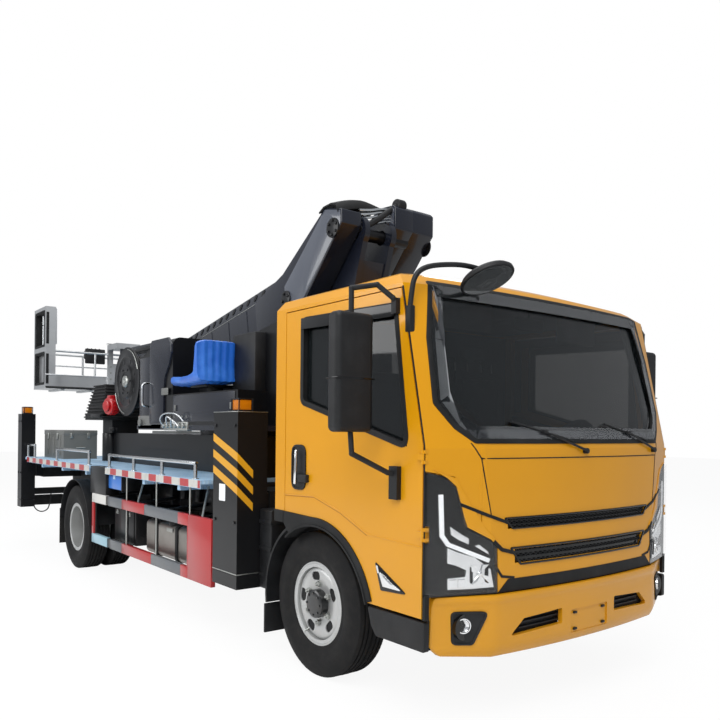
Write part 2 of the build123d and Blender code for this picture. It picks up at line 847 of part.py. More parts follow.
# the fog lamps' back plates stop just short of the bumper's inner face
fog_plate_reach = 990.2
with BuildPart() as headlamps:
    cab_skin(0)
    cab_skin(cab_wall, Mode.SUBTRACT)
    with BuildPart(mode=Mode.PRIVATE) as lamp_shapes:
        for side in (1, -1):
            front_plate([(side * y, z) for y, z in lamp_outline],
                        ahead(door_front_reach + 8), ahead(1300))
    add(lamp_shapes.part, mode=Mode.INTERSECT)
    for side in (1, -1):
        low = min(side * post_inner_y, side * post_outer_y)
        block(ahead(900), ahead(post_front_reach), low, low + post_outer_y - post_inner_y,
              600, 1400, Mode.SUBTRACT)
        for z in hinge_heights:
            low, high = both(side, post_outer_y, 1100)
            block(ahead(900), ahead(992), low, high, z - 40, z + 40, Mode.SUBTRACT)
    # fog lamps behind the bumper's round openings
    for side in (1, -1):
        rod_x(ahead(985), ahead(1052), side * 830, 488, 62)
        low, high = both(side, 730, 890)
        block(ahead(976), ahead(fog_plate_reach), low, high, 410, 566)
save(headlamps, "front_lamps")


def shifted_outline(points, gap):
    """An outline pulled in by a gap all round, for a panel within an opening."""
    with BuildSketch(Plane.XZ) as outline:
        with BuildLine():
            Polyline(*points, close=True)
        make_face()
        offset(amount=-gap, kind=Kind.INTERSECTION)
    return outline.sketch


for side_name, side in (("left", 1), ("right", -1)):
    low, high = both(side, cab_half_width - cab_wall, cab_half_width)
    with BuildPart() as door:
        panel = shifted_outline(door_outline, panel_gap)
        extrude(panel.moved(Location((0, high, 0))), amount=high - low)
        rod_y(ahead(arch_reach), low - 1, high + 1, arch_z, arch_radius + panel_gap,
              Mode.SUBTRACT)
        side_plate(window_outline, low - 1, high + 1, Mode.SUBTRACT)
        for z in hinge_heights:
            x = ahead(hinge_reach)
            leaf_low, leaf_high = both(side, cab_half_width - 10, hinge_y + 4)
            block(ahead(door_front_reach - 30), ahead(door_front_reach - panel_gap - 1),
                  leaf_low, leaf_high, z - 15, z + 15)
            leaf_low, leaf_high = both(side, hinge_y - 6, hinge_y + 4)
            block(ahead(door_front_reach - 30), x, leaf_low, leaf_high, z - 15, z + 15)
            rod_z(x, side * hinge_y, z - 15, z + 15, hinge_radius)
            rod_z(x, side * hinge_y, z - 15, z + 15, 4 + bearing_gap, Mode.SUBTRACT)
        grip_low, grip_high = both(side, cab_half_width, cab_half_width + 22)
        block(ahead(-90), ahead(20), grip_low, grip_high, 1120, 1150)
    save(door, f"door_{side_name}")

    with BuildPart() as door_glass:
        middle = side * (cab_half_width - cab_wall / 2)
        pane = shifted_outline(window_outline, running_gap)
        place = Location((0, middle + glass_thickness / 2, 0))
        extrude(pane.moved(place), amount=glass_thickness)
    save(door_glass, f"door_glass_{side_name}")

with BuildPart() as windscreen:
    cab_skin(18)
    cab_skin(18 + glass_thickness, Mode.SUBTRACT)
    with BuildSketch(Plane.YZ.offset(ahead(700))) as screen:
        with BuildLine():
            Polyline(*windscreen_outline, close=True)
        make_face()
        offset(amount=-running_gap, kind=Kind.INTERSECTION)
    extrude(screen.sketch, amount=600, mode=Mode.INTERSECT)
    block(ahead(-cab_rear_reach + 25), ahead(-cab_rear_reach + 31), -419.7, 419.7, 1500.3, 1949.7)
save(windscreen, "cab_glass")

bumper_top_z = 634
bumper_bottom_z = 330
bumper_wall = 50
with BuildPart() as bumper:
    for inset, mode in ((0, Mode.ADD), (bumper_wall, Mode.SUBTRACT)):
        with BuildSketch(Plane.XY.offset(bumper_bottom_z)) as plan:
            with BuildLine():
                Polyline(
                    (ahead(1118 - inset), -(690 - inset / 2)),
                    (ahead(975), -(985 - inset)),
                    (ahead(975), 985 - inset),
                    (ahead(1118 - inset), 690 - inset / 2),
                )
                ThreePointArc(
                    (ahead(1118 - inset), 690 - inset / 2),
                    (ahead(front_overhang - inset), 0),
                    (ahead(1118 - inset), -(690 - inset / 2)),
                )
            make_face()
        extrude(plan.sketch, amount=bumper_top_z - bumper_bottom_z, mode=mode)
    for side in (1, -1):
        low, high = both(side, 180, 540)
        block(ahead(1000), ahead(1300), low, high, 400, 490, Mode.SUBTRACT)
        rod_x(ahead(900), ahead(1300), side * 830, 488, 70, Mode.SUBTRACT)
        low, high = both(side, rail_inner_y, rail_outer_y)
        block(ahead(rail_front_reach), ahead(1112), low, high, 600, 630)
save(bumper, "bumper")

with BuildPart() as grille:
    # a backing sheet close behind the panel, with louvres that reach into the slots
    cab_skin(cab_wall + 1)
    cab_skin(cab_wall + 9, Mode.SUBTRACT)
    block(ahead(900), ahead(1300), -640, 640, 755, 1015, Mode.INTERSECT)
    with BuildPart(mode=Mode.PRIVATE) as louvres:
        cab_skin(30)
        cab_skin(cab_wall + 4, Mode.SUBTRACT)
        with BuildPart(mode=Mode.PRIVATE) as blades:
            for z, half, _ in slot_table:
                for rise in (-14, 14):
                    block(ahead(900), ahead(1300), -half, half, z + rise - 3, z + rise + 3)
        add(blades.part, mode=Mode.INTERSECT)
    add(louvres.part)
save(grille, "grille")


with BuildPart() as steps:
    for side in (1, -1):
        low, high = both(side, 955, 1020)
        block(ahead(705), ahead(970), low, high, 385, 524)
        low, high = both(side, 640, 1000)
        block(ahead(745), ahead(800), low, high, 420, 480)
        low, high = both(side, 640, 700)
        block(ahead(745), ahead(800), low, high, 420, 660)
        low, high = both(side, rail_outer_y, 700)
        block(ahead(745), ahead(800), low, high, 610, 660)
save(steps, "cab_steps")

with BuildPart() as seats:
    # columns: low y, high y
    for y_low, y_high in ((250, 720), (-730, 120)):
        block(ahead(-70), ahead(400), y_low + 30, y_high - 30, floor_top_z, 1090)
        block(ahead(-90), ahead(430), y_low, y_high, 1090, 1210)
        back = [
            (ahead(-90), 1210),
            (ahead(20), 1210),
            (ahead(-60), 1830),
            (ahead(-160), 1830),
        ]
        side_plate(back, y_low, y_high)
save(seats, "cab_seats")

with BuildPart() as dashboard:
    profile = [
        (ahead(760), 1120),
        (ahead(740), 1240),
        (ahead(800), 1322),
        (ahead(940), 1322),
        (ahead(940), 1050),
        (ahead(860), 1050),
    ]
    side_plate(profile, -962, 962)
    block(ahead(700), ahead(960), -140, 140, floor_top_z, 1200)
    block(ahead(900), ahead(1010), -560, 560, 1100, 1320)
    column = Plane(origin=(ahead(640), 485, 1310), z_dir=(-math.sin(0.9), 0, math.cos(0.9)))
    with BuildSketch(column):
        Circle(22)
    extrude(amount=-190)
    with BuildSketch(column):
        Circle(215)
        Circle(187, mode=Mode.SUBTRACT)
        Rectangle(400, 40)
    extrude(amount=24)
save(dashboard, "dashboard")


def tube(points, radius):
    """A bent tube through points, as straight runs with round joints."""
    for start, end in zip(points, points[1:]):
        line = Plane(origin=start, z_dir=tuple(b - a for a, b in zip(start, end)))
        with BuildSketch(line) as section:
            Circle(radius)
        extrude(section.sketch, amount=math.dist(start, end))
    for point in points[1:-1]:
        with Locations(point):
            Sphere(radius + 1)


with BuildPart() as door_mirror:
    block(ahead(650), ahead(740), 1140, 1360, 1402, 1969)
    fillet(door_mirror.edges(), radius=28)
    tube(
        [
            (ahead(695), 1250, 1940),
            (ahead(695), 1250, 2085),
            (ahead(740), 1130, 2110),
            (ahead(775), 1060, 2050),
            (ahead(775), 1040, 2030),
        ],
        13,
    )
    block(ahead(760), ahead(795), cab_half_width, cab_half_width + 28, 1975, 2050)
    tube(
        [
            (ahead(695), 1250, 1420),
            (ahead(710), 1250, 1300),
            (ahead(770), 1080, 1210),
            (ahead(785), 1040, 1200),
        ],
        13,
    )
    block(ahead(755), ahead(815), cab_half_width, cab_half_width + 28, 1080, 1240)
save(door_mirror, "door_mirror_left")

with BuildPart() as opposite_mirror:
    mirror(door_mirror.part, about=Plane.XZ)
save(opposite_mirror, "door_mirror_right")

mirror_foot_reach = 849.3
with BuildPart() as front_mirror:
    tube(
        [
            (ahead(mirror_foot_reach), -966, 2115),
            (ahead(880), -930, 2170),
            (ahead(960), -800, 2215),
            (ahead(985), -660, 2190),
        ],
        12,
    )
    with Locations((ahead(mirror_foot_reach), -966, 2115)):
        Sphere(18)
    with BuildSketch(Plane(origin=(ahead(985), -640, 2185), z_dir=(0.5, 0, -0.85))):
        Circle(105)
    extrude(amount=40)
save(front_mirror, "front_mirror")


# ------------------------------------------------------------------------- turret
mast_half_width = 145
turntable_bottom_z = 1400 + running_gap
turntable_top_z = 1440
cylinder_foot = (ahead(-2100), 1520)
rod_eye = boom_point(678, -302)
boom_pin_radius = 55

with BuildPart() as turret:
    block(ahead(-3200), ahead(-1040), -800, 560, turntable_bottom_z, turntable_top_z)
    for side in (1, -1):
        low, high = both(side, 100, mast_half_width)
        cheek = [
            (ahead(-2450), turntable_top_z),
            (ahead(-1050), turntable_top_z),
            (ahead(-640), 2760),
            (ahead(-650), 2900),
            (ahead(-830), 2920),
            (ahead(-1235), 2330),
            (ahead(-1800), 1950),
            (ahead(-2450), 1640),
        ]
        side_plate(cheek, low, high)
        rod_y(pivot_x, low, high, pivot_z, 125)
    front = [
        (ahead(-1130), turntable_top_z),
        (ahead(-1060), turntable_top_z),
        (ahead(-690), 2640),
        (ahead(-750), 2640),
    ]
    side_plate(front, -mast_half_width, mast_half_width)
    rod_y(pivot_x, -mast_half_width, mast_half_width, pivot_z, boom_pin_radius + bearing_gap,
          Mode.SUBTRACT)
    foot_x, foot_z = cylinder_foot
    rod_y(foot_x, -mast_half_width, mast_half_width, foot_z, 30)
save(turret, "turret")

with BuildPart() as cabinet:
    block(ahead(-2863), ahead(-1250), -800, -400, turntable_top_z, 1700)
    block(ahead(-2863), ahead(-2400), -800, -400, 1700, 2190)
    rounded = cabinet.edges().filter_by(Axis.X).group_by(Axis.Z)[-1]
    fillet(rounded, radius=70)
    block(ahead(-3190), ahead(-2870), -780, -400, turntable_top_z, 2080)
    block(ahead(-2700), ahead(-1300), 350, 560, turntable_top_z, 1900)
    # housings beside the mast, whose roofs follow the boom's underside
    housing = [
        (ahead(-1590), turntable_top_z),
        (ahead(-1130), turntable_top_z),
        (ahead(-1130), 2200),
        (ahead(-1333), 2170),
        (ahead(-1590), 2120),
    ]
    for side in (1, -1):
        low, high = both(side, mast_half_width + 5, 550)
        side_plate(housing, low, high)
save(cabinet, "turret_cabinets")

with BuildPart() as operator_seat:
    block(ahead(-1680), ahead(-1600), -1000, -560, 1760, 2085)
    block(ahead(-2080), ahead(-1600), -1000, -560, 1760, 1800)
    block(ahead(-1950), ahead(-1700), -790, -600, 1700, 1760)
save(operator_seat, "operator_seat")


# --------------------------------------------------------------------------- boom
base_tail_u = 3400
# columns: tail u, foot u, half width, lowest w, highest w
section_table = [
    (3440, 1160, 270, -480, -132),
    (3480, 1210, 220, -445, -172),
    (3520, 1260, 172, -412, -208),
]

with BuildPart() as boom_base:
    corners = [
        (720, boom_top_w - 94),
        (1100, boom_bottom_w),
        (base_tail_u, boom_bottom_w),
        (base_tail_u, boom_top_w - 94),
    ]
    side_plate([boom_point(u, w) for u, w in corners], -boom_half_width, boom_half_width)
    # chamfered top: a narrower roof joined by sloping strips
    tail_plane = Plane(
        origin=(boom_point(base_tail_u, 0)[0], 0, boom_point(base_tail_u, 0)[1]),
        x_dir=(0, 1, 0),
        z_dir=(boom_cos, 0, boom_sin),
    )
    with BuildSketch(tail_plane) as roof:
        with BuildLine():
            Polyline(
                (-boom_half_width, boom_top_w - 94),
                (boom_half_width, boom_top_w - 94),
                (boom_half_width - 40, boom_top_w),
                (-boom_half_width + 40, boom_top_w),
                close=True,
            )
        make_face()
    extrude(roof.sketch, amount=base_tail_u - 720)
    hollow = [(1130, -490), (1130, -120), (base_tail_u + 1, -120), (base_tail_u + 1, -490)]
    side_plate([boom_point(u, w) for u, w in hollow], -(boom_half_width - 50),
               boom_half_width - 50, Mode.SUBTRACT)
    # gooseneck arms
    arm = [
        boom_point(1160, boom_top_w - 94),
        boom_point(702, boom_top_w),
        (ahead(-851), 3008),
        (ahead(-644), 2959),
        (ahead(-640), 2860),
        boom_point(437, -388),
        boom_point(700, boom_bottom_w),
        boom_point(1160, boom_bottom_w),
    ]
    for side in (1, -1):
        low, high = both(side, boom_half_width - arm_width, boom_half_width)
        side_plate(arm, low, high)
        low, high = both(side, boom_half_width, boom_half_width + 14)
        rod_y(pivot_x, low, high, pivot_z, 70)
        rod_y(rod_eye[0], low, high, rod_eye[1], 62)
    rod_y(pivot_x, -boom_half_width, boom_half_width, pivot_z, boom_pin_radius)
    for side in (1, -1):
        low, high = both(side, 66, boom_half_width)
        rod_y(rod_eye[0], low, high, rod_eye[1], 34)
    # hose box on the outside of the left arm
    hose_box = [
        (ahead(-1120), 2700),
        (ahead(-645), 2700),
        (ahead(-640), 2960),
        (ahead(-790), 3050),
        (ahead(-1120), 2960),
    ]
    side_plate(hose_box, boom_half_width, 545)
    # foot that rests on the stand
    rest = [(3080, boom_bottom_w), (3080, boom_bottom_w - 150), (3200, boom_bottom_w - 150),
            (3200, boom_bottom_w)]
    side_plate([boom_point(u, w) for u, w in rest], -160, 160)
save(boom_base, "boom_base")

# the space within the section outside each one: half width, lowest w, highest w
room_table = [(boom_half_width - 50, -490, -120)] + [
    (half - boom_wall, w_low + boom_wall, w_high - boom_wall)
    for _, _, half, w_low, w_high in section_table[:-1]
]
pad_length = 90
for number, (section, room) in enumerate(zip(section_table, room_table), start=2):
    tail_u, foot_u, half, w_low, w_high = section
    room_half, room_low, room_high = room
    with BuildPart() as boom_section:
        boom_tube(foot_u, tail_u, half, w_low, w_high)
        boom_tube(foot_u - 1, tail_u + 1, half - boom_wall, w_low + boom_wall,
                  w_high - boom_wall, Mode.SUBTRACT)
        # wear pads round the foot that slide in the section outside
        pad_end_u = foot_u + 40 + pad_length
        boom_tube(foot_u + 40, pad_end_u, half - 40, room_low + running_gap, w_low)
        boom_tube(foot_u + 40, pad_end_u, half - 40, w_high, room_high - running_gap)
        corners = [
            (foot_u + 40, w_low + 60),
            (foot_u + 40, w_high - 60),
            (pad_end_u, w_high - 60),
            (pad_end_u, w_low + 60),
        ]
        for side in (1, -1):
            low, high = both(side, half, room_half - running_gap)
            side_plate([boom_point(u, w) for u, w in corners], low, high)
        if number == 4:
            # closed head with the jib's ears
            boom_tube(tail_u - 40, tail_u + 10, half, w_low, w_high)
            for side in (1, -1):
                low, high = both(side, 70, 110)
                ear = [(tail_u, w_low), (tail_u, w_high), (tail_u + 60, w_high),
                       (tail_u + 125, -310), (tail_u + 60, w_low)]
                side_plate([boom_point(u, w) for u, w in ear], low, high)
            jib_x, jib_z = boom_point(tail_u + 75, -310)
            rod_y(jib_x, -110, 110, jib_z, 22)
    save(boom_section, f"boom_section_{number}")

foot_x, foot_z = cylinder_foot
eye_x, eye_z = rod_eye
cylinder_length = math.dist(cylinder_foot, rod_eye)
cylinder_line = Plane(
    origin=(foot_x, 0, foot_z), x_dir=(0, -1, 0), z_dir=(eye_x - foot_x, 0, eye_z - foot_z)
)
with BuildPart() as lift_barrel:
    with BuildSketch(cylinder_line.offset(50)) as ring:
        Circle(72)
    extrude(ring.sketch, amount=cylinder_length - 160)
    with BuildSketch(cylinder_line.offset(75)) as bore:
        Circle(45 + running_gap)
    extrude(bore.sketch, amount=cylinder_length, mode=Mode.SUBTRACT)
    rod_y(foot_x, -60, 60, foot_z, 60)
    rod_y(foot_x, -60, 60, foot_z, 30 + bearing_gap, Mode.SUBTRACT)
save(lift_barrel, "lift_barrel")

with BuildPart() as lift_rod:
    with BuildSketch(cylinder_line.offset(90)) as rod:
        Circle(45)
    extrude(rod.sketch, amount=cylinder_length - 120)
    rod_y(eye_x, -60, 60, eye_z, 62)
    rod_y(eye_x, -60, 60, eye_z, 34 + 1.5, Mode.SUBTRACT)
save(lift_rod, "lift_rod")

reel_x = ahead(-3700)
reel_z = 1875
with BuildPart() as hose_reel:
    rod_y(reel_x, -720, -706, reel_z, 340)
    rod_y(reel_x, -706, -480, reel_z, 220)
    rod_y(reel_x, -480, -466, reel_z, 330)
    rod_y(reel_x, -466, -boom_half_width, reel_z, 80)
save(hose_reel, "hose_reel")

# ----------------------------------------------------------------- jib and basket
jib_end_reach = -5700
jib_low_z = 2270
jib_high_z = 2410
rotator_radius = 75
with BuildPart() as jib:
    arm = [
        (jib_x - 55, jib_z),
        (jib_x + 20, jib_z + 51),
        (jib_x - 20, jib_low_z + 60),
        (jib_x - 60, jib_high_z - 6),
        (ahead(jib_end_reach), jib_high_z - 6),
        (ahead(jib_end_reach), jib_low_z),
        (jib_x - 90, jib_low_z),
        (jib_x - 90, jib_z + 150),
    ]
    side_plate(arm, -65, 65)
    rod_y(jib_x, -65, 65, jib_z, 55)
    rod_y(jib_x, -65, 65, jib_z, 22 + bearing_gap, Mode.SUBTRACT)
    rod_z(ahead(jib_end_reach), 0, jib_low_z, jib_high_z, rotator_radius)
    rod_z(ahead(jib_end_reach), 0, jib_low_z, jib_high_z, 30 + bearing_gap, Mode.SUBTRACT)
save(jib, "jib")

basket_front_x = ahead(-6490) + basket_depth
basket_rear_x = ahead(-6490)
sheet = 4
handrail_z = 2360
handrail_radius = 14
rail_inset = 16
with BuildPart() as basket:
    # floor tray with a low wall all round
    block(basket_rear_x, basket_front_x, -basket_half_width, basket_half_width,
          basket_floor_z, basket_floor_z + 175)
    block(basket_rear_x + sheet, basket_front_x - sheet, -basket_half_width + sheet,
          basket_half_width - sheet, basket_floor_z + 30, basket_floor_z + 176, Mode.SUBTRACT)
    # tall guard at the right-hand end
    y_low = -basket_half_width
    y_high = y_low + 118
    block(basket_rear_x, basket_front_x, y_low, y_high, basket_floor_z, basket_guard_top_z)
    mid_z = basket_floor_z + 480
    for z_low, z_high in ((basket_floor_z + 60, mid_z - 45), (mid_z + 45, basket_guard_top_z - 60)):
        block(basket_rear_x + 60, basket_front_x - 60, y_low - 1, y_high + 1, z_low, z_high,
              Mode.SUBTRACT)
    # handrails of the other three sides, on posts let into the tray's wall
    for x in (basket_front_x - rail_inset, basket_rear_x + rail_inset):
        rod_y(x, y_high, basket_half_width - rail_inset, handrail_z, handrail_radius)
        for y in (basket_half_width - rail_inset, 300, -300):
            rod_z(x, y, basket_floor_z + 10, handrail_z, handrail_radius - 1)
    rod_x(basket_rear_x + rail_inset, basket_front_x - rail_inset,
          basket_half_width - rail_inset, handrail_z, handrail_radius)
    # bracket that hangs the basket from the rotator
    for side in (1, -1):
        low, high = both(side, 90, 150)
        block(basket_front_x - 4, basket_front_x + 46, low, high, basket_floor_z + 60, 2480)
    block(basket_front_x - 4, ahead(jib_end_reach) + 80, -150, 150, jib_high_z + running_gap,
          2480)
    block(basket_front_x - 4, basket_front_x + 46, -150, 150, 2000, 2240)
    rod_z(ahead(jib_end_reach), 0, jib_low_z, 2440, 30)
save(basket, "basket")
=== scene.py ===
# %% [markdown]
# # A cherry picker truck, dressed in Blender
# The solid model comes in first and stays where it is: every piece made here is placed by the same
# real sizes. The truck is a light forward-control lorry with a slewing turret, a telescopic boom,
# an aluminium work basket and four outrigger legs. The cells below set up light and camera, make the
# finishes one by one, and then build what the solids leave out: tread, seams, lamps, glass and hoses.

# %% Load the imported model
import math

import bmesh
import bpy
from mathutils import Matrix, Vector


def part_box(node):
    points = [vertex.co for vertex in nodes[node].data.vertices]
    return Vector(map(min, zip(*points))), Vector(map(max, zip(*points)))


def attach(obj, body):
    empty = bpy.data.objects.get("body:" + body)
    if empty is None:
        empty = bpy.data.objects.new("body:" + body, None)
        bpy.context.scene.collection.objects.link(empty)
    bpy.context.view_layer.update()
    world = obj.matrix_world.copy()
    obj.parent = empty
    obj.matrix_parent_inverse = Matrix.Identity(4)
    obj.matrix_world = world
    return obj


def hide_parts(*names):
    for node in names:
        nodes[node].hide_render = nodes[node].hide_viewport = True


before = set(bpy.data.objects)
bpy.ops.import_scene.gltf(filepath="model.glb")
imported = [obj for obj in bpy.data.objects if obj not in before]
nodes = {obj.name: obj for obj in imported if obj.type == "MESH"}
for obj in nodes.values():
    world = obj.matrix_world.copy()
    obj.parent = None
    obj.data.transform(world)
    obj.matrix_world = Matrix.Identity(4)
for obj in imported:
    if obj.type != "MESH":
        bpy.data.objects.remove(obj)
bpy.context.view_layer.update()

# %% [markdown]
# Workshop drawings of a truck measure along from the front axle, out from its middle line and up from
# the ground, in millimetres. Keeping to that way of measuring lets every number below be read off a
# drawing, and one function turns it into Blender's metres.

# %% Places on the truck
MM = 0.001
axle_low, axle_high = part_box("front_axle")
front_axle_x = (axle_low[0] + axle_high[0]) / 2
WHEEL_RADIUS = 415
WHEELBASE = 4100
SIDES = {"left": 1, "right": -1}


def at(reach, across, height):
    """A point from its reach ahead of the front axle, its distance left and its height, in mm."""
    return Vector((front_axle_x + reach * MM, across * MM, height * MM))


print("front axle at", round(front_axle_x, 4), "m")

# %% [markdown]
# The view is a person's, standing ahead of the truck's right-hand corner with the camera at chest
# height and level. Level keeps upright edges upright, and the lens shift frames the boom above.

# %% The camera
FOCAL_PIXELS = 730.4
FRAME_PIXELS = 720
HORIZON_ROW = 431.3
SENSOR_WIDTH = 36
EYE = (3459.3, -3335.8, 1406.1)
TURN_OFF_AXLE = math.radians(37.823)
ROLL = math.radians(0.613)

camera_data = bpy.data.cameras.new("standing_view")
camera_data.sensor_width = SENSOR_WIDTH
camera_data.lens = FOCAL_PIXELS / FRAME_PIXELS * SENSOR_WIDTH
camera_data.shift_y = (HORIZON_ROW - FRAME_PIXELS / 2) / FRAME_PIXELS
camera_data.clip_end = 200
camera = bpy.data.objects.new("standing_view", camera_data)
look = Vector((-math.cos(TURN_OFF_AXLE), math.sin(TURN_OFF_AXLE), 0))
turn = look.to_track_quat("-Z", "Y").to_matrix().to_4x4()
camera.matrix_world = Matrix.Translation(at(*EYE)) @ turn @ Matrix.Rotation(ROLL, 4, "Z")
bpy.context.collection.objects.link(camera)
bpy.context.scene.camera = camera
bpy.context.scene.view_settings.view_transform = "Standard"
print("camera at", tuple(round(v, 3) for v in camera.location))

# %% [markdown]
# A pale studio: a broad world light from every side, one large soft lamp high in front and weaker ones
# round it. The world looks white to the camera and to glass, and is a plain soft grey to everything
# else, so that the light that falls on the truck stays at an even level.


# %% One function adds every shader node
def hex_to_linear(code):
    """An sRGB hex colour as linear red, green, blue and alpha."""
    values = [int(code[i : i + 2], 16) / 255 for i in (1, 3, 5)]
    linear = [v / 12.92 if v <= 0.04045 else ((v + 0.055) / 1.055) ** 2.4 for v in values]
    return (*linear, 1.0)


def feed(tree, node, sockets):
    """Gives each socket its number, its hex colour or its link; a node stands for its first output."""
    for socket, value in sockets.items():
        if isinstance(value, str):
            value = hex_to_linear(value)
        if isinstance(value, bpy.types.Node):
            value = next(output for output in value.outputs if output.enabled)
        if isinstance(value, bpy.types.NodeSocket):
            tree.links.new(value, node.inputs[socket])
        else:
            node.inputs[socket].default_value = value


def add_node(tree, kind, sockets=(), **settings):
    """Adds one shader node with its settings and what its sockets get."""
    node = tree.nodes.new("ShaderNode" + kind)
    for name, value in settings.items():
        setattr(node, name, value)
    feed(tree, node, dict(sockets))
    return node


def camera_or_glass(tree):
    """1 for the rays that the camera sees, straight or through glass."""
    rays = add_node(tree, "LightPath").outputs
    return add_node(tree, "Math", {0: rays["Is Camera Ray"], 1: rays["Is Transmission Ray"]}, operation="MAXIMUM")


# %% World and lamps
world = bpy.data.worlds.new("pale_studio")
bpy.context.scene.world = world
world.use_nodes = True
sky = world.node_tree
sky.nodes.clear()
fill_light = add_node(sky, "Background", {"Color": "#F2F5FA", "Strength": 0.5})
backdrop = add_node(sky, "Background", {"Color": "#FFFFFF", "Strength": 1.0})
chosen = add_node(sky, "MixShader", {0: camera_or_glass(sky), 1: fill_light, 2: backdrop})
add_node(sky, "OutputWorld", {"Surface": chosen})


def soft_lamp(name, place, aim, width, height, power):
    """A rectangular studio lamp, in metres and watts, that shines from one place towards another."""
    data = bpy.data.lights.new(name, "AREA")
    data.shape = "RECTANGLE"
    data.size = width
    data.size_y = height
    data.energy = power
    lamp = bpy.data.objects.new(name, data)
    direction = aim - place
    lamp.matrix_world = Matrix.Translation(place) @ direction.to_track_quat("-Z", "Y").to_matrix().to_4x4()
    bpy.context.collection.objects.link(lamp)
    print(name, power, "W")


soft_lamp("key_lamp", at(3800, -5200, 7200), at(-1500, 0, 900), 6.0, 6.0, 560)
soft_lamp("side_lamp", at(-5200, -8200, 4600), at(-2600, 0, 1000), 6.0, 3.5, 250)
soft_lamp("top_lamp", at(-2300, 0, 9500), at(-2300, 0, 1000), 9.0, 4.0, 260)
soft_lamp("back_lamp", at(-9000, 6500, 6000), at(-2300, 0, 1000), 5.0, 4.0, 220)

# %% [markdown]
# Enamel is paint with a clear gloss over it. Seen close it is never quite flat: it has a faint
# orange-peel ripple, its colour drifts a little, and road dust dulls it low down. Each paint below
# is made by one function from its colour, its gloss and how dusty it is.


# %% Paints
def new_material(name):
    """An empty node material with its shader and the object's own coordinates."""
    material = bpy.data.materials.new(name)
    material.use_nodes = True
    tree = material.node_tree
    tree.nodes.clear()
    shader = add_node(tree, "BsdfPrincipled")
    add_node(tree, "OutputMaterial", {"Surface": shader})
    return material, tree, shader, add_node(tree, "TexCoord").outputs["Object"]


def paint(name, colour, roughness=0.32, coat=0.6, dust=0.25, dust_colour="#8C857A", peel=0.25, metallic=0.0,
          drift=0.12, specular=0.5):
    """Enamel with orange peel, a slow drift of tone and dust that gathers low down."""
    material, tree, shader, place = new_material(name)
    base = hex_to_linear(colour)
    darker = tuple(v * (1 - drift) for v in base[:3]) + (1.0,)
    drifting = add_node(tree, "TexNoise", {"Vector": place, "Scale": 1 / (620 * MM), "Detail": 3})
    slow = add_node(tree, "MapRange", {"Value": drifting, "From Min": 0.35, "From Max": 0.65})
    tone = add_node(tree, "Mix", {"Factor": slow, 6: darker, 7: base}, data_type="RGBA")
    patches = add_node(tree, "TexNoise", {"Vector": place, "Scale": 1 / (90 * MM), "Detail": 5, "Roughness": 0.65})
    specks = add_node(tree, "MapRange", {
        "Value": patches, "From Min": 0.35, "From Max": 0.75, "To Min": 0.1, "To Max": dust})
    height = add_node(tree, "SeparateXYZ", {0: place}).outputs["Z"]
    low_down = add_node(tree, "MapRange", {"Value": height, "From Min": 1.5, "From Max": 0.35})
    dusty = add_node(tree, "Math", {0: low_down, 1: specks}, operation="MULTIPLY")
    ripple = add_node(tree, "TexNoise", {"Vector": place, "Scale": 1 / (5 * MM), "Detail": 1})
    feed(tree, shader, {
        "Base Color": add_node(tree, "Mix", {"Factor": dusty, 6: tone, 7: dust_colour}, data_type="RGBA"),
        "Roughness": add_node(tree, "MapRange", {"Value": dusty, "To Min": roughness, "To Max": 0.9}),
        "Normal": add_node(tree, "Bump", {"Height": ripple, "Distance": peel * MM, "Strength": 0.35}),
        "Metallic": metallic, "Specular IOR Level": specular, "Coat Weight": coat, "Coat Roughness": 0.06})
    print("paint", name)
    return material


cab_enamel = paint("gloss_enamel_orange_yellow", "#D49201", 0.3, 0.25, 0.08, "#A98B56", 0.15, drift=0.05, specular=0.3)
leg_paint = paint("satin_enamel_black", "#0E0F12", 0.34, 0.15, 0.12, "#3A3936", 0.1, specular=0.25)
boom_paint = paint("gloss_enamel_graphite", "#191D28", 0.24, 0.3, 0.1, "#3A3936", 0.03, specular=0.3)
# a lighter slate copy of the boom's black enamel: painted sheen for the arm faces turned to the light
sheen_slate_paint = paint("slate_enamel_painted_sheen", "#4D525D", 0.24, 0.5, 0.1, "#3A3936", 0.03)
frame_paint = paint("chassis_paint_black", "#0D0E10", 0.55, 0.05, 0.25, "#3A3732", 0.3, specular=0.25)
guard_red = paint("gloss_enamel_red", "#B0161B", 0.3, 0.4, 0.1, "#7E4A40", 0.2)
guard_grey = paint("grey_enamel", "#5A6067", 0.4, 0.3, 0.35, "#7A756B", 0.3)
tool_grey = paint("hammered_grey_enamel", "#6A6B68", 0.42, 0.3, 0.2, "#8C857A", 0.5)
stripe_yellow = paint("marking_yellow", "#DFA010", 0.45, 0.2, 0.15, "#A98B56", 0.1)
wheel_silver = paint("wheel_silver_enamel", "#C4C6C6", 0.33, 0.3, 0.3, "#8C857A", 0.3, metallic=0.55)

# %% [markdown]
# The deck is chequer plate: steel rolled with raised lens-shaped bars in two directions, so that
# boots grip when it is wet. A bar is about 25 mm long and 6 mm wide. Two stretched patterns, turned
# 45 degrees each way, stand for the two directions of bars, and the light blue paint is worn and dusty.

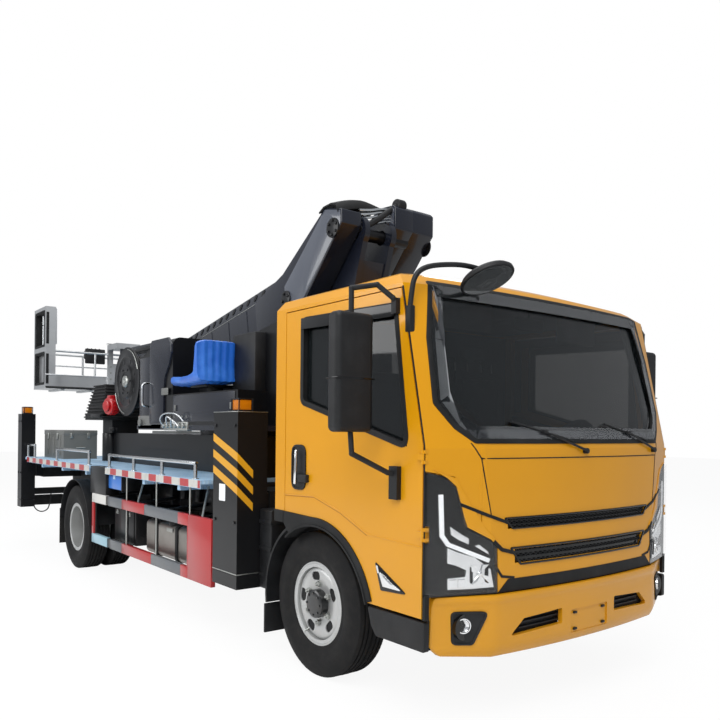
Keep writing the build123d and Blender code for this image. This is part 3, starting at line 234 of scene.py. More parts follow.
# %% Chequer plate under light blue paint
BAR_PITCH = 42
deck_blue, tree, shader, place = new_material("painted_chequer_plate_blue")
bars = []
for quarter, offset in ((0.25, 0.0), (-0.25, 0.5)):
    turned = add_node(tree, "Mapping", {
        "Vector": place, "Rotation": (0, 0, quarter * math.pi), "Location": (offset * BAR_PITCH * MM, 0, 0),
        "Scale": (1 / (BAR_PITCH * MM), 2 / (BAR_PITCH * MM), 1)})
    wrapped = add_node(tree, "VectorMath", {0: turned}, operation="FRACTION")
    centred = add_node(tree, "VectorMath", {0: wrapped, 1: (0.5, 0.5, 0)}, operation="SUBTRACT")
    shaped = add_node(tree, "VectorMath", {0: centred, 1: (1.6, 3.2, 0)}, operation="MULTIPLY")
    away = add_node(tree, "VectorMath", {0: shaped}, operation="LENGTH")
    bars.append(add_node(tree, "MapRange", {"Value": away, "From Min": 0.62, "From Max": 0.45}))
raised = add_node(tree, "Math", {0: bars[0], 1: bars[1]}, operation="MAXIMUM")
grime = add_node(tree, "TexNoise", {"Vector": place, "Scale": 1 / (260 * MM), "Detail": 6, "Roughness": 0.65})
faded = add_node(tree, "MapRange", {"Value": grime, "From Min": 0.4, "From Max": 0.7})
clean = add_node(tree, "Mix", {"Factor": faded, 6: "#B4D6F2", 7: "#94BCDC"}, data_type="RGBA")
rubbed = add_node(tree, "MapRange", {"Value": raised, "To Max": 0.35})
feed(tree, shader, {
    "Base Color": add_node(tree, "Mix", {"Factor": rubbed, 6: clean, 7: "#CBDCE6"}, data_type="RGBA"),
    "Roughness": 0.42, "Normal": add_node(tree, "Bump", {"Height": raised, "Distance": 1.6 * MM})})
print("chequer plate, bars every", BAR_PITCH, "mm")

# %% [markdown]
# Tape with red and white blocks runs round the deck's edge. It is made of prisms under a clear film,
# so it is smooth and a little pearly. Each block is 150 mm long, and the pattern is worked out from
# the place along the truck, so it never has to be laid out.

# %% Reflecting tape
TAPE_BLOCK = 150
deck_tape, tree, shader, place = new_material("prismatic_tape_red_white")
along = add_node(tree, "SeparateXYZ", {0: place}).outputs["X"]
blocks = add_node(tree, "Math", {0: along, 1: 1 / (2 * TAPE_BLOCK * MM)}, operation="MULTIPLY")
wrapped = add_node(tree, "Math", {0: blocks}, operation="FRACT")
step = add_node(tree, "Math", {0: wrapped, 1: 0.5}, operation="GREATER_THAN")
printed = add_node(tree, "Mix", {"Factor": step, 6: "#C9C8C2", 7: "#B22026"}, data_type="RGBA")
dirt = add_node(tree, "TexNoise", {"Vector": place, "Scale": 1 / (60 * MM), "Detail": 4, "Roughness": 0.6})
dirty = add_node(tree, "MapRange", {"Value": dirt, "From Min": 0.5, "From Max": 0.8, "To Max": 0.35})
prisms = add_node(tree, "TexVoronoi", {"Vector": place, "Scale": 1 / (4 * MM)})
feed(tree, shader, {
    "Base Color": add_node(tree, "Mix", {"Factor": dirty, 6: printed, 7: "#8C857A"}, data_type="RGBA"),
    "Roughness": 0.3, "Coat Weight": 0.5,
    "Normal": add_node(tree, "Bump", {"Height": prisms, "Distance": 0.15 * MM, "Strength": 0.3})})
print("tape in blocks of", TAPE_BLOCK, "mm")

# %% [markdown]
# Tyres are black rubber with carbon in it, dull and slightly brown with dust. The sidewall has fine
# rings from its mould. The rings follow the wheel, so the pattern is made from the distance to the
# wheel's centre, which a Mapping node moves to the middle.


# %% Tyre rubber
RING_PITCH = 6


def tyre_rubber(name, axle_reach):
    """Rubber with mould rings round one axle, dusted in patches."""
    material, tree, shader, place = new_material(name)
    centre = at(axle_reach, 0, WHEEL_RADIUS)
    centred = add_node(tree, "Mapping", {
        "Vector": place, "Location": (-centre.x, 0, -centre.z), "Scale": (1, 0, 1)}, vector_type="POINT")
    radius = add_node(tree, "VectorMath", {0: centred}, operation="LENGTH")
    rings = add_node(tree, "Math", {0: radius, 1: RING_PITCH * MM}, operation="PINGPONG")
    ridges = add_node(tree, "MapRange", {"Value": rings, "From Max": RING_PITCH * MM})
    dust = add_node(tree, "TexNoise", {"Vector": place, "Scale": 1 / (70 * MM), "Detail": 6, "Roughness": 0.7})
    dusty = add_node(tree, "MapRange", {"Value": dust, "From Min": 0.42, "From Max": 0.75, "To Max": 0.4})
    feed(tree, shader, {
        "Base Color": add_node(tree, "Mix", {"Factor": dusty, 6: "#131314", 7: "#2E2B28"}, data_type="RGBA"),
        "Roughness": 0.72, "Specular IOR Level": 0.25,
        "Normal": add_node(tree, "Bump", {"Height": ridges, "Distance": 0.5 * MM, "Strength": 0.4})})
    print("rubber", name)
    return material


front_rubber = tyre_rubber("carbon_rubber_front", 0)
rear_rubber = tyre_rubber("carbon_rubber_rear", -WHEELBASE)

# %% [markdown]
# Moulded plastics take the grain of their steel mould: a leathery pattern of cells a few millimetres
# across that breaks up the shine. Rubber seals and hoses are smoother and more matt.


# %% Plastics and rubber
def grained(name, colour, roughness, grain_mm, depth_mm, specular=0.5, coat=0.0, light=None):
    """A moulded surface with a cell grain and a faint mottle."""
    material, tree, shader, place = new_material(name)
    base = hex_to_linear(colour)
    paler = light or tuple(min(1, v * 1.5 + 0.006) for v in base[:3]) + (1.0,)
    mottle = add_node(tree, "TexNoise", {"Vector": place, "Scale": 1 / (160 * MM), "Detail": 4, "Roughness": 0.6})
    mottled = add_node(tree, "MapRange", {"Value": mottle, "From Min": 0.45, "From Max": 0.75})
    cells = add_node(tree, "TexVoronoi", {"Vector": place, "Scale": 1 / (grain_mm * MM)}, feature="DISTANCE_TO_EDGE")
    grain = add_node(tree, "MapRange", {"Value": cells, "From Max": 0.2})
    feed(tree, shader, {
        "Base Color": add_node(tree, "Mix", {"Factor": mottled, 6: base, 7: paler}, data_type="RGBA"),
        "Roughness": roughness, "Specular IOR Level": specular, "Coat Weight": coat,
        "Normal": add_node(tree, "Bump", {"Height": grain, "Distance": depth_mm * MM, "Strength": 0.5})})
    print("moulded", name)
    return material


black_plastic = grained("grained_polypropylene_black", "#121315", 0.5, 3.0, 0.25, specular=0.35)
gloss_black = grained("gloss_abs_black", "#090A0B", 0.14, 30.0, 0.02, specular=0.3, coat=0.25)
seat_blue = grained("moulded_polyethylene_blue", "#1F62C4", 0.32, 26.0, 0.12, coat=0.2, light="#3B7EDC")
seal_rubber = grained("seal_rubber_black", "#101112", 0.62, 8.0, 0.05, specular=0.3)
hose_rubber = grained("hose_rubber_black", "#161617", 0.55, 2.5, 0.12, specular=0.35)
dash_plastic = grained("grained_plastic_grey", "#34363A", 0.6, 3.0, 0.2)
headliner = grained("needled_felt_light_grey", "#7C7E80", 0.9, 2.0, 0.3, specular=0.2)

# %% [markdown]
# The seats wear a woven polyester. Three sine waves, one along each way, cross like threads on any face.

# %% Seat cloth
THREAD_PITCH = 4  # a real thread is under 1 mm, drawn coarser so that the weave shows
seat_cloth, tree, shader, place = new_material("woven_polyester_dark_grey")
weave = []
for across in add_node(tree, "SeparateXYZ", {0: place}).outputs:
    scaled = add_node(tree, "Math", {0: across, 1: 2 * math.pi / (THREAD_PITCH * MM)}, operation="MULTIPLY")
    weave.append(add_node(tree, "Math", {0: scaled}, operation="SINE"))
crossed = add_node(tree, "Math", {0: weave[0], 1: weave[1]}, operation="MULTIPLY")
woven = add_node(tree, "Math", {0: crossed, 1: weave[2], 2: weave[1]}, operation="MULTIPLY_ADD")
threads = add_node(tree, "MapRange", {"Value": woven, "From Min": -1.5, "From Max": 1.5})
feed(tree, shader, {
    "Base Color": add_node(tree, "Mix", {"Factor": threads, 6: "#1F2023", 7: "#3C3E42"}, data_type="RGBA"),
    "Roughness": 0.85, "Sheen Weight": 0.3,
    "Normal": add_node(tree, "Bump", {"Height": threads, "Distance": 0.4 * MM})})
print("threads every", THREAD_PITCH, "mm")

# %% [markdown]
# Bare metals are told apart by their finish. The basket is drawn aluminium, brushed lengthwise and
# dulled by weather. The tank is darker rolled sheet. Rods and nuts are chrome and zinc.


# %% Metals
def bare_metal(name, colour, roughness, brush_mm, depth_mm, stretch=(1, 1, 1), variation=0.12, dirt=0.15):
    """Metal with brush marks, patches of other roughness, and a little grime."""
    material, tree, shader, place = new_material(name)
    patches = add_node(tree, "TexNoise", {"Vector": place, "Scale": 1 / (140 * MM), "Detail": 4, "Roughness": 0.6})
    grime = add_node(tree, "MapRange", {"Value": patches, "From Min": 0.5, "From Max": 0.8, "To Max": dirt})
    gloss = add_node(tree, "MapRange", {
        "Value": patches, "From Min": 0.3, "From Max": 0.7, "To Min": roughness, "To Max": roughness + variation})
    drawn = add_node(tree, "Mapping", {"Vector": place, "Scale": stretch})
    marks = add_node(tree, "TexNoise", {"Vector": drawn, "Scale": 1 / (brush_mm * MM)})
    feed(tree, shader, {
        "Base Color": add_node(tree, "Mix", {"Factor": grime, 6: colour, 7: "#5E5A52"}, data_type="RGBA"),
        "Metallic": 1.0, "Roughness": gloss,
        "Normal": add_node(tree, "Bump", {"Height": marks, "Distance": depth_mm * MM, "Strength": 0.4})})
    print("metal", name)
    return material


aluminium = bare_metal("drawn_aluminium", "#D3D5D6", 0.34, 2.0, 0.12, (1, 0.05, 1))
tank_metal = bare_metal("rolled_aluminium_sheet", "#9C9791", 0.3, 2.0, 0.1, (0.05, 1, 1))
stainless = bare_metal("polished_stainless_tube", "#CDD0D2", 0.16, 3.0, 0.05)
zinc = bare_metal("zinc_plated_steel", "#B4B6B2", 0.35, 4.0, 0.1)
chrome = bare_metal("hard_chrome", "#E2E3E4", 0.06, 6.0, 0.02, variation=0.03, dirt=0.05)
cast_iron = bare_metal("sand_cast_iron", "#3C3A38", 0.62, 3.0, 0.8, variation=0.2, dirt=0.6)
mirror_silver = bare_metal("silvered_mirror", "#EDEFF0", 0.02, 60.0, 0.0, variation=0.01, dirt=0.0)

# %% [markdown]
# Glass and lenses are clear shells. Automotive glass is tinted grey, so the pane lets the cab behind
# it show through a dark surface that still mirrors the sky. The lenses of lamps are clear, red or
# amber over bright reflectors.


# %% Glass and lenses
def lens(name, colour, transmission, roughness=0.03, alpha=1.0):
    """A clear or coloured moulding that light passes through."""
    material, tree, shader, place = new_material(name)
    smears = add_node(tree, "TexNoise", {"Vector": place, "Scale": 1 / (240 * MM), "Detail": 4, "Roughness": 0.6})
    gloss = add_node(tree, "MapRange", {
        "Value": smears, "From Min": 0.4, "From Max": 0.8, "To Min": roughness, "To Max": roughness + 0.05})
    feed(tree, shader, {"Base Color": colour, "Roughness": gloss, "Transmission Weight": transmission, "IOR": 1.5,
                        "Alpha": alpha})
    print("lens", name)
    return material


safety_glass = lens("tinted_safety_glass", "#171B1D", 0.0, 0.02, alpha=0.6)
smoked_glass = lens("smoked_edge_glass", "#20262A", 0.5, 0.02, alpha=0.3)
clear_lens = lens("clear_polycarbonate", "#F4F7F8", 0.9, 0.02, alpha=0.07)
amber_lens = lens("amber_polycarbonate", "#F08A10", 0.35, 0.12)
red_lens = lens("red_polycarbonate", "#A40F12", 0.3, 0.1)
white_guide, tree, shader, place = new_material("white_light_guide")
frost = add_node(tree, "TexNoise", {"Vector": place, "Scale": 1 / (12 * MM)})
feed(tree, shader, {
    "Base Color": add_node(tree, "Mix", {"Factor": frost, 6: "#E8ECEF", 7: "#FFFFFF"}, data_type="RGBA"),
    "Roughness": 0.25, "Coat Weight": 0.5})

# %% [markdown]
# Each solid that stays in sight gets one of these finishes, listed by finish so that none is missed.

# %% Put the finishes on the solids
WORN_BY = (
    (cab_enamel, "cab_shell cab_front_panel bumper door_left door_right"),
    (black_plastic, "grille cab_steps door_mirror_left door_mirror_right front_mirror power_pack rear_mudguards"),
    (safety_glass, "cab_glass door_glass_left door_glass_right"), (gloss_black, "front_lamps"),
    (seat_cloth, "cab_seats"), (dash_plastic, "dashboard"), (frame_paint, "chassis_frame subframe"),
    (cast_iron, "engine_block front_axle rear_axle leaf_springs knuckle_left knuckle_right"),
    (deck_blue, "deck"), (guard_grey, "side_guards"), (tank_metal, "fuel_tank"), (tool_grey, "storage_boxes"),
    (red_lens, "tail_lamps"), (seat_blue, "operator_seat"), (chrome, "lift_rod"), (aluminium, "basket"),
    (boom_paint, "turret boom_base boom_section_2 boom_section_3 boom_section_4 jib"),
    (leg_paint, "turret_base turret_cabinets lift_barrel hose_reel outrigger_front_left outrigger_front_right "
                "outrigger_rear_left outrigger_rear_right jack_front_left jack_front_right jack_rear_left "
                "jack_rear_right"),
    (wheel_silver, "rim_front_left rim_front_right rim_rear_left rim_rear_right"),
    (front_rubber, "tyre_front_left tyre_front_right"), (rear_rubber, "tyres_rear_left tyres_rear_right"),
)
finish_of = {name: material for material, names in WORN_BY for name in names.split()}
for name, node in nodes.items():
    node.data.materials.clear()
    node.data.materials.append(finish_of[name])
print("finished solids", len(finish_of))

# %% [markdown]
# Every added piece starts in a bmesh from one of a few bench tools: a box with rounded edges, a rod
# between two points, a plate cut from an outline, and a lathe that spins a profile. They all add to
# the same bmesh, so one piece can be made of several welded shapes, and `finish` turns it into an
# object that rides on its body. Places are given as reach, distance left and height in mm.


# %% Bench tools
def spot(place):
    """A point from (reach, across, height) in mm, or from a Vector that is a point already."""
    return place.copy() if isinstance(place, Vector) else at(*place)


def round_edges(bm, edges, width, segments=2):
    """Bevels edges, each named once and always in the same order, to a width in mm."""
    if width:
        bmesh.ops.bevel(bm, geom=list(edges), offset=width * MM, offset_type="OFFSET", segments=segments,
                        profile=0.5, affect="EDGES", material=-1, clamp_overlap=True)


def add_box(bm, corner, opposite, rounding=0, segments=2):
    """A box between two opposite corners, its edges rounded."""
    low, high = (Vector(ends) for ends in zip(*map(sorted, zip(spot(corner), spot(opposite)))))
    place = Matrix.Translation((low + high) / 2) @ Matrix.Diagonal((*(high - low), 1))
    made = bmesh.ops.create_cube(bm, size=1, matrix=place)["verts"]
    round_edges(bm, dict.fromkeys(edge for vert in made for edge in vert.link_edges), rounding, segments)


def add_rod(bm, start, end, radius, sides=24, end_radius=None, rounding=0):
    """A rod or cone between two points, its radius in mm."""
    start, end = spot(start), spot(end)
    axis = end - start
    place = Matrix.Translation((start + end) / 2) @ axis.to_track_quat("Z", "Y").to_matrix().to_4x4()
    tip = radius if end_radius is None else end_radius
    made = bmesh.ops.create_cone(bm, cap_ends=True, segments=sides, radius1=radius * MM, radius2=tip * MM,
                                 depth=axis.length, matrix=place)["verts"]
    rims = (e for v in made for e in v.link_edges if any(len(f.verts) > 4 for f in e.link_faces))
    round_edges(bm, dict.fromkeys(rims), rounding, 2)


def thicken(bm, faces, way):
    """Extrudes faces by a vector and gives back the vertices that moved."""
    grown = bmesh.ops.extrude_face_region(bm, geom=list(faces))["geom"]
    moved = [item for item in grown if isinstance(item, bmesh.types.BMVert)]
    bmesh.ops.translate(bm, verts=moved, vec=way)
    return moved


def add_plate(bm, outline, thickness, rounding=0, segments=2):
    """A plate with a flat outline of points, thickened by a vector."""
    face = bm.faces.new([bm.verts.new(point) for point in outline])
    corners = list(face.verts)
    moved = thicken(bm, [face], thickness)
    round_edges(bm, dict.fromkeys(edge for vert in moved + corners for edge in vert.link_edges), rounding, segments)


def add_lathe(bm, profile, centre, axis, steps=64):
    """Spins (along the axis, radius) points in mm once round a centre."""
    axis = Vector(axis).normalized()
    out = axis.orthogonal().normalized()
    verts = [bm.verts.new(centre + axis * (along * MM) + out * (radius * MM)) for along, radius in profile]
    edges = [bm.edges.new(pair) for pair in zip(verts, verts[1:])]
    bmesh.ops.spin(bm, geom=verts + edges, cent=centre, axis=axis, dvec=(0, 0, 0), angle=2 * math.pi, steps=steps,
                   use_merge=True, use_duplicate=False)


def bench_object(name, mesh):
    """A new object in the scene that holds a mesh."""
    piece = bpy.data.objects.new(name, mesh)
    bpy.context.collection.objects.link(piece)
    return piece


def mesh_of(bm, name):
    """A closed bmesh as a mesh whose faces point outwards."""
    bmesh.ops.remove_doubles(bm, verts=bm.verts, dist=1e-6)
    bmesh.ops.recalc_face_normals(bm, faces=bm.faces)
    mesh = bpy.data.meshes.new(name)
    bm.to_mesh(mesh)
    bm.free()
    return mesh


def shaped_mesh(piece):
    """The mesh that a piece's modifiers or curve give."""
    bpy.context.view_layer.update()
    return bpy.data.meshes.new_from_object(piece.evaluated_get(bpy.context.evaluated_depsgraph_get()))


def mount(name, mesh, material, body, slot, replaces=()):
    """Makes a mesh a piece with a finish that rides on its body."""
    mesh.name = name
    mesh.materials.clear()
    mesh.materials.append(material)
    piece = bench_object(name, mesh)
    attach(piece, body)
    if replaces:
        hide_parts(*replaces)
    print(name, "faces", len(mesh.polygons))


def finish(name, bm, material, body, slot, replaces=(), crease=35):
    """Closes a bmesh into a piece, smooth up to a crease angle."""
    mesh = mesh_of(bm, name)
    mesh.shade_smooth()
    mesh.set_sharp_from_angle(angle=math.radians(crease))
    mount(name, mesh, material, body, slot, replaces)


def bent_tube(name, runs, radius, material, body, slot, replaces=()):
    """Tubes that bend smoothly through points, each run a list of points."""
    curve = bpy.data.curves.new(name, "CURVE")
    curve.dimensions = "3D"
    curve.bevel_depth = radius * MM
    curve.bevel_resolution = 3
    curve.use_fill_caps = True
    curve.resolution_u = 6
    for points in runs:
        spline = curve.splines.new("NURBS")
        spline.points.add(len(points) - 1)
        for knot, point in zip(spline.points, points):
            knot.co = (*spot(point), 1)
        spline.order_u = min(3, len(points))
        spline.use_endpoint_u = True
    former = bench_object(name, curve)
    mesh = shaped_mesh(former)
    bpy.data.objects.remove(former)
    mesh.shade_smooth()
    mount(name, mesh, material, body, slot, replaces)


def carved(bm, cutter):
    """One closed shape less another, by an exact boolean."""
    blank, tool = (bench_object("carving", mesh_of(source, "carving")) for source in (bm, cutter))
    cut = blank.modifiers.new("cut", "BOOLEAN")
    cut.operation = "DIFFERENCE"
    cut.solver = "EXACT"
    cut.object = tool
    result = bmesh.new()
    result.from_mesh(shaped_mesh(blank))
    for piece in (blank, tool):
        bpy.data.objects.remove(piece)
    return result


def angles(count, first=0):
    """Angles evenly round a circle, from a first one in degrees."""
    return [math.radians(first + 360 * n / count) for n in range(count)]


print("bench tools ready")

# %% [markdown]
# ## Wheels
# A ribbed truck tyre has straight grooves round its tread, which a lathe cuts in one go: the
# profile runs from one bead over the tread to the other, and a spin turns it round the axle.

# %% Tyres
RIM_FLANGE = 235
GROOVE_FLOOR = WHEEL_RADIUS - 11
FRONT_TRACK, REAR_OUTER, REAR_INNER = 860, 976, 714
half = [(8, WHEEL_RADIUS)]
for groove in (34, 62):
    half += [(groove - 6, WHEEL_RADIUS - 1), (groove - 4, GROOVE_FLOOR), (groove + 2, GROOVE_FLOOR),
             (groove + 4, WHEEL_RADIUS - 1)]
half += [(84, WHEEL_RADIUS - 2), (92, WHEEL_RADIUS - 6), (97, WHEEL_RADIUS - 16), (103, 384),
         (111, 362), (116, 340), (117, 322), (113, 300), (108, 290), (107, 286), (104, 282), (99, 262),
         (96, 248), (92, 240), (84, RIM_FLANGE + 3), (76, RIM_FLANGE + 1), (74, RIM_FLANGE - 12)]
middle_groove = [(-4, GROOVE_FLOOR), (4, GROOVE_FLOOR)]
tyre_section = [(-offset, radius) for offset, radius in reversed(half)] + middle_groove + half

for side_name, side in SIDES.items():
    for end, wheels, tyre, reach, places, rubber in (
            ("front", "wheel", "tyre", 0, (FRONT_TRACK,), front_rubber),
            ("rear", "wheels", "tyres", -WHEELBASE, (REAR_OUTER, REAR_INNER), rear_rubber)):
        bm = bmesh.new()
        for across in places:
            add_lathe(bm, tyre_section, at(reach, side * across, WHEEL_RADIUS), (0, 1, 0), steps=72)
        finish(f"ribbed_{tyre}_{end}_{side_name}", bm, rubber, f"{wheels}_{end}_{side_name}", "tyre",
               [f"{tyre}_{end}_{side_name}"])

# %% [markdown]
# The wheels are pressed steel discs, riveted into a rolled rim. The front disc swells outward round
# six nuts, and dips to a black hub cap. Each nut is turned with a domed end. The disc is spun as a
# thin shell, five oval hand holes are carved through it, and dark plates behind them stand for the
# shade of the brake drum.

# %% Rims' edges, nuts, hub caps and flanges
NUT_CIRCLE, NUT_WIDTH = 111, 32
rolled_edge = [(74, 236), (82, 240), (90, 238), (91, 230), (84, 222), (60, 216), (20, 212)]
front_cap = [(52, 80), (66, 82), (98, 81), (110, 79), (115, 70), (118, 54), (119, 40), (119, 0.01)]
rear_cap = [(-70, 84), (-24, 84), (-12, 76), (-8, 60), (-8, 0.01)]
hub_black = grained("baked_enamel_black", "#0E0F10", 0.3, 20.0, 0.05, coat=0.4)


def wheel_spin(bm, centre, side, profile, steps=72):
    """Spins (outward, radius) points round a wheel's centre."""
    add_lathe(bm, [(side * outward, radius) for outward, radius in profile], centre, (0, 1, 0), steps=steps)


def round_wheel(centre, side, angle, circle, outward):
    """A point on a circle round a wheel's centre, at a distance outward."""
    return centre + Vector((circle * math.cos(angle), side * outward, circle * math.sin(angle))) * MM


def dress_rim(end, body, side, centre, face, height):
    """The rolled edge of one rim, and six nuts that stand on a face so far outward."""
    side_name = "left" if side > 0 else "right"
    bm = bmesh.new()
    wheel_spin(bm, centre, side, rolled_edge)
    finish(f"rolled_rim_edge_{end}_{side_name}", bm, wheel_silver, body, "rim_silver")
    bm = bmesh.new()
    for angle in angles(6, 30):
        foot, collar, top, tip = (round_wheel(centre, side, angle, NUT_CIRCLE, face + out)
                                  for out in (0, 4, height, height + 12))
        add_rod(bm, foot, collar, NUT_WIDTH * 0.72, 20)
        add_rod(bm, collar, top, NUT_WIDTH * 0.56, 6, rounding=1)
        add_rod(bm, top, tip, NUT_WIDTH * 0.34, 16, end_radius=NUT_WIDTH * 0.2)
    finish(f"wheel_nuts_{end}_{side_name}", bm, zinc, body, None)


def bolted_cap(name, body, side, centre, cap, circle, low, high, radius, material, slot):
    """A spun cap with a ring of eight bolts from low to high outward."""
    bm = bmesh.new()
    wheel_spin(bm, centre, side, cap, 48)
    for angle in angles(8):
        foot, top = (round_wheel(centre, side, angle, circle, out) for out in (low, high))
        add_rod(bm, foot, top, radius, 6, rounding=0.6)
    finish(name, bm, material, body, slot)


# %% Front wheel discs with their hand holes, and all that is bolted to the wheels
HOLE_CIRCLE, HOLE_WIDTH, HOLE_STRAIGHT = 156, 24, 15
DISC_GAUGE = 7
disc_face = [(60, 209), (72, 201), (80, 188), (83, 170), (82, 150), (77, 130), (72, 112), (68, 96), (67, 76)]
disc_loop = disc_face + [(along - DISC_GAUGE, radius) for along, radius in reversed(disc_face)] + disc_face[:1]


def hand_hole(turn, grow):
    """The (x, z) points in m of one oval hole in a disc, longer round the wheel than across."""
    way, along = Vector((math.cos(turn), math.sin(turn))), Vector((-math.sin(turn), math.cos(turn)))
    points = []
    for a in angles(20):
        out = HOLE_CIRCLE + (HOLE_WIDTH + 1 + grow) * math.sin(a)
        aside = math.copysign(HOLE_STRAIGHT, math.cos(a)) + (HOLE_WIDTH + grow) * math.cos(a)
        points.append((way * out + along * aside) * MM)
    return points


for side_name, side in SIDES.items():
    body = f"wheel_front_{side_name}"
    centre = at(0, side * FRONT_TRACK, WHEEL_RADIUS)
    dress_rim("front", body, side, centre, 65, 26)
    bm, holes, shadows = bmesh.new(), bmesh.new(), bmesh.new()
    wheel_spin(bm, centre, side, disc_loop)
    for turn in angles(5, 99):
        # the second set of ovals are dark plates behind the holes: painted shade of the brake drum
        for target, grow, near, far in ((holes, 0, 40, 100), (shadows, 5, 70, 75)):
            oval = [centre + Vector((x, side * near * MM, z)) for x, z in hand_hole(turn, grow)]
            add_plate(target, oval, Vector((0, side * (far - near) * MM, 0)))
    finish(f"pressed_disc_front_{side_name}", carved(bm, holes), wheel_silver, body, "rim_silver", crease=50)
    finish(f"hand_hole_painted_shade_{side_name}", shadows, seal_rubber, body, "dark_plastic")
    bolted_cap(f"hub_cap_front_{side_name}", body, side, centre, front_cap, 62, 110, 122, 7, hub_black, "black_paint")
    bm = bmesh.new()
    stem, neck, tip = (centre + Vector((x, side * y, z)) * MM
                       for x, y, z in ((-88, 58, -150), (-102, 92, -172), (-107, 104, -180)))
    add_rod(bm, stem, neck, 4.5, 12)
    add_rod(bm, neck, tip, 5.5, 12, rounding=1)
    finish(f"valve_front_{side_name}", bm, zinc, body, None)
    body = f"wheels_rear_{side_name}"
    centre = at(-WHEELBASE, side * REAR_OUTER, WHEEL_RADIUS)
    dress_rim("rear", body, side, centre, -118, 30)
    bolted_cap(f"axle_flange_rear_{side_name}", body, side, centre, rear_cap, 66, -16, -2, 8, cast_iron, "cast_grey")


# %% [markdown]
# ## The cab's face
# The cab's face curves across the truck and leans back over the windscreen. `cab_front` gives how far
# ahead the painted skin is at any place, from the same level sections as the solid. Seams, seals and
# lamps are cut as flat outlines in mm and then laid on that skin by `add_sheet`, a little proud of it.

# %% The skins of the cab
BROAD_PITCH, FLAT_PITCH = 70, 9000  # a sheet on a curved skin is cut at every pitch, so that it can bend
CAB_SIDE = 1030
BACK_WALL = -339
# columns: height, half width, side reach, corner reach, corner across, front reach
CAB_LEVELS = [
    (520, 1030, 985, 1110, 660, 1150),
    (1330, 1030, 985, 1085, 740, 1138),
    (2125, 1030, 812, 845, 895, 885),
    (2180, 985, 740, 775, 860, 830),
    (2225, 860, 600, 640, 760, 700),
]


def arc_reach(across, corner, side, corner_across, half, front):
    """The reach of a nose that is an arc between its corners and straight beyond them."""
    across = abs(across)
    if across > corner_across:
        return corner + (side - corner) * (across - corner_across) / (half - corner_across)
    rise = front - corner
    radius = (corner_across**2 + rise**2) / (2 * rise)
    return front - radius + math.sqrt(radius**2 - across**2)


def cab_front(across, height):
    """How far ahead of the front axle the cab's skin is."""
    height = min(max(height, CAB_LEVELS[0][0]), CAB_LEVELS[-1][0])
    for low, high in zip(CAB_LEVELS, CAB_LEVELS[1:]):
        if height <= high[0]:
            break
    share = (height - low[0]) / (high[0] - low[0])
    half, side, corner, corner_across, front = [a + (b - a) * share for a, b in zip(low[1:], high[1:])]
    return arc_reach(across, corner, side, corner_across, half, front)


def on_face(across, height, proud):
    return at(cab_front(across, height) + proud, across, height)


def on_bumper(across, height, proud):
    return at(arc_reach(across, 1118, 975, 690, 985, 1160) + proud, across, height)


def on_back_wall(across, height, proud):
    return at(BACK_WALL - proud, across, height)


def on_flank(side, face):
    """Places on a flat side of the truck, from reach and height, for a face so far from the middle."""
    return lambda reach, height, proud: at(reach, side * (face + proud), height)


# %% Outlines and the sheets that they cut
def inset(outline, width):
    """An outline pulled in by a width all round, its corners mitred."""
    area = sum(a[0] * b[1] - b[0] * a[1] for a, b in zip(outline, outline[1:] + outline[:1]))
    turn = 1 if area > 0 else -1
    moved = []
    for n, point in enumerate(outline):
        here = Vector(point)
        one = (here - Vector(outline[n - 1])).normalized()
        two = (Vector(outline[(n + 1) % len(outline)]) - here).normalized()
        normals = [Vector((-way.y, way.x)) * turn for way in (one, two)]
        middle = (normals[0] + normals[1]).normalized()
        moved.append(tuple(here + middle * width / max(0.3, middle.dot(normals[0]))))
    return moved


def soften(outline, radius, steps=5):
    """An outline with each corner rounded."""
    points = []
    for n, point in enumerate(outline):
        here = Vector(point)
        back, on = Vector(outline[n - 1]) - here, Vector(outline[(n + 1) % len(outline)]) - here
        reach = min(radius / math.tan(back.angle(on) / 2), 0.45 * back.length, 0.45 * on.length)
        start, end = here + back.normalized() * reach, here + on.normalized() * reach
        for k in range(steps + 1):
            t = k / steps
            points.append(tuple(start * (1 - t) ** 2 + here * 2 * t * (1 - t) + end * t**2))
    return points


def add_sheet(bm, outline, place, low, high, hole=None, pitch=None, rounding=0, level_cuts=()):
    """A sheet between two depths on a surface; a hole has as many points as its outline."""
    if pitch is None:
        pitch = BROAD_PITCH if place in (on_face, on_bumper, on_back_wall) else FLAT_PITCH
    sheet = bmesh.new()
    outer = [sheet.verts.new((u * MM, v * MM, low * MM)) for u, v in outline]
    if hole:
        inner = [sheet.verts.new((u * MM, v * MM, low * MM)) for u, v in hole]
        for n in range(len(outer)):
            sheet.faces.new((outer[n - 1], outer[n], inner[n], inner[n - 1]))
    else:
        sheet.faces.new(outer)
    moved = set(thicken(sheet, sheet.faces, (0, 0, (high - low) * MM)))
    if rounding:
        rims = [e for e in sheet.edges if all(v in moved for v in e.verts)
                and any(abs(f.normal.z) < 0.5 for f in e.link_faces)]
        round_edges(sheet, rims, rounding, 2)
    bmesh.ops.triangulate(sheet, faces=[f for f in sheet.faces if len(f.verts) > 4])
    heights = [level[0] for level in CAB_LEVELS] + list(level_cuts)
    for way, levels in ((Vector((1, 0, 0)), range(-1100, 1200, pitch)), (Vector((0, 1, 0)), heights)):
        for level in levels:
            parts = list(sheet.verts) + list(sheet.edges) + list(sheet.faces)
            bmesh.ops.bisect_plane(sheet, geom=parts, plane_co=way * level * MM, plane_no=way, dist=1e-7)
    for vert in sheet.verts:
        vert.co = place(*(vert.co / MM))
    mesh = bpy.data.meshes.new("laid_sheet")
    sheet.to_mesh(mesh)
    sheet.free()
    bm.from_mesh(mesh)
    bpy.data.meshes.remove(mesh)


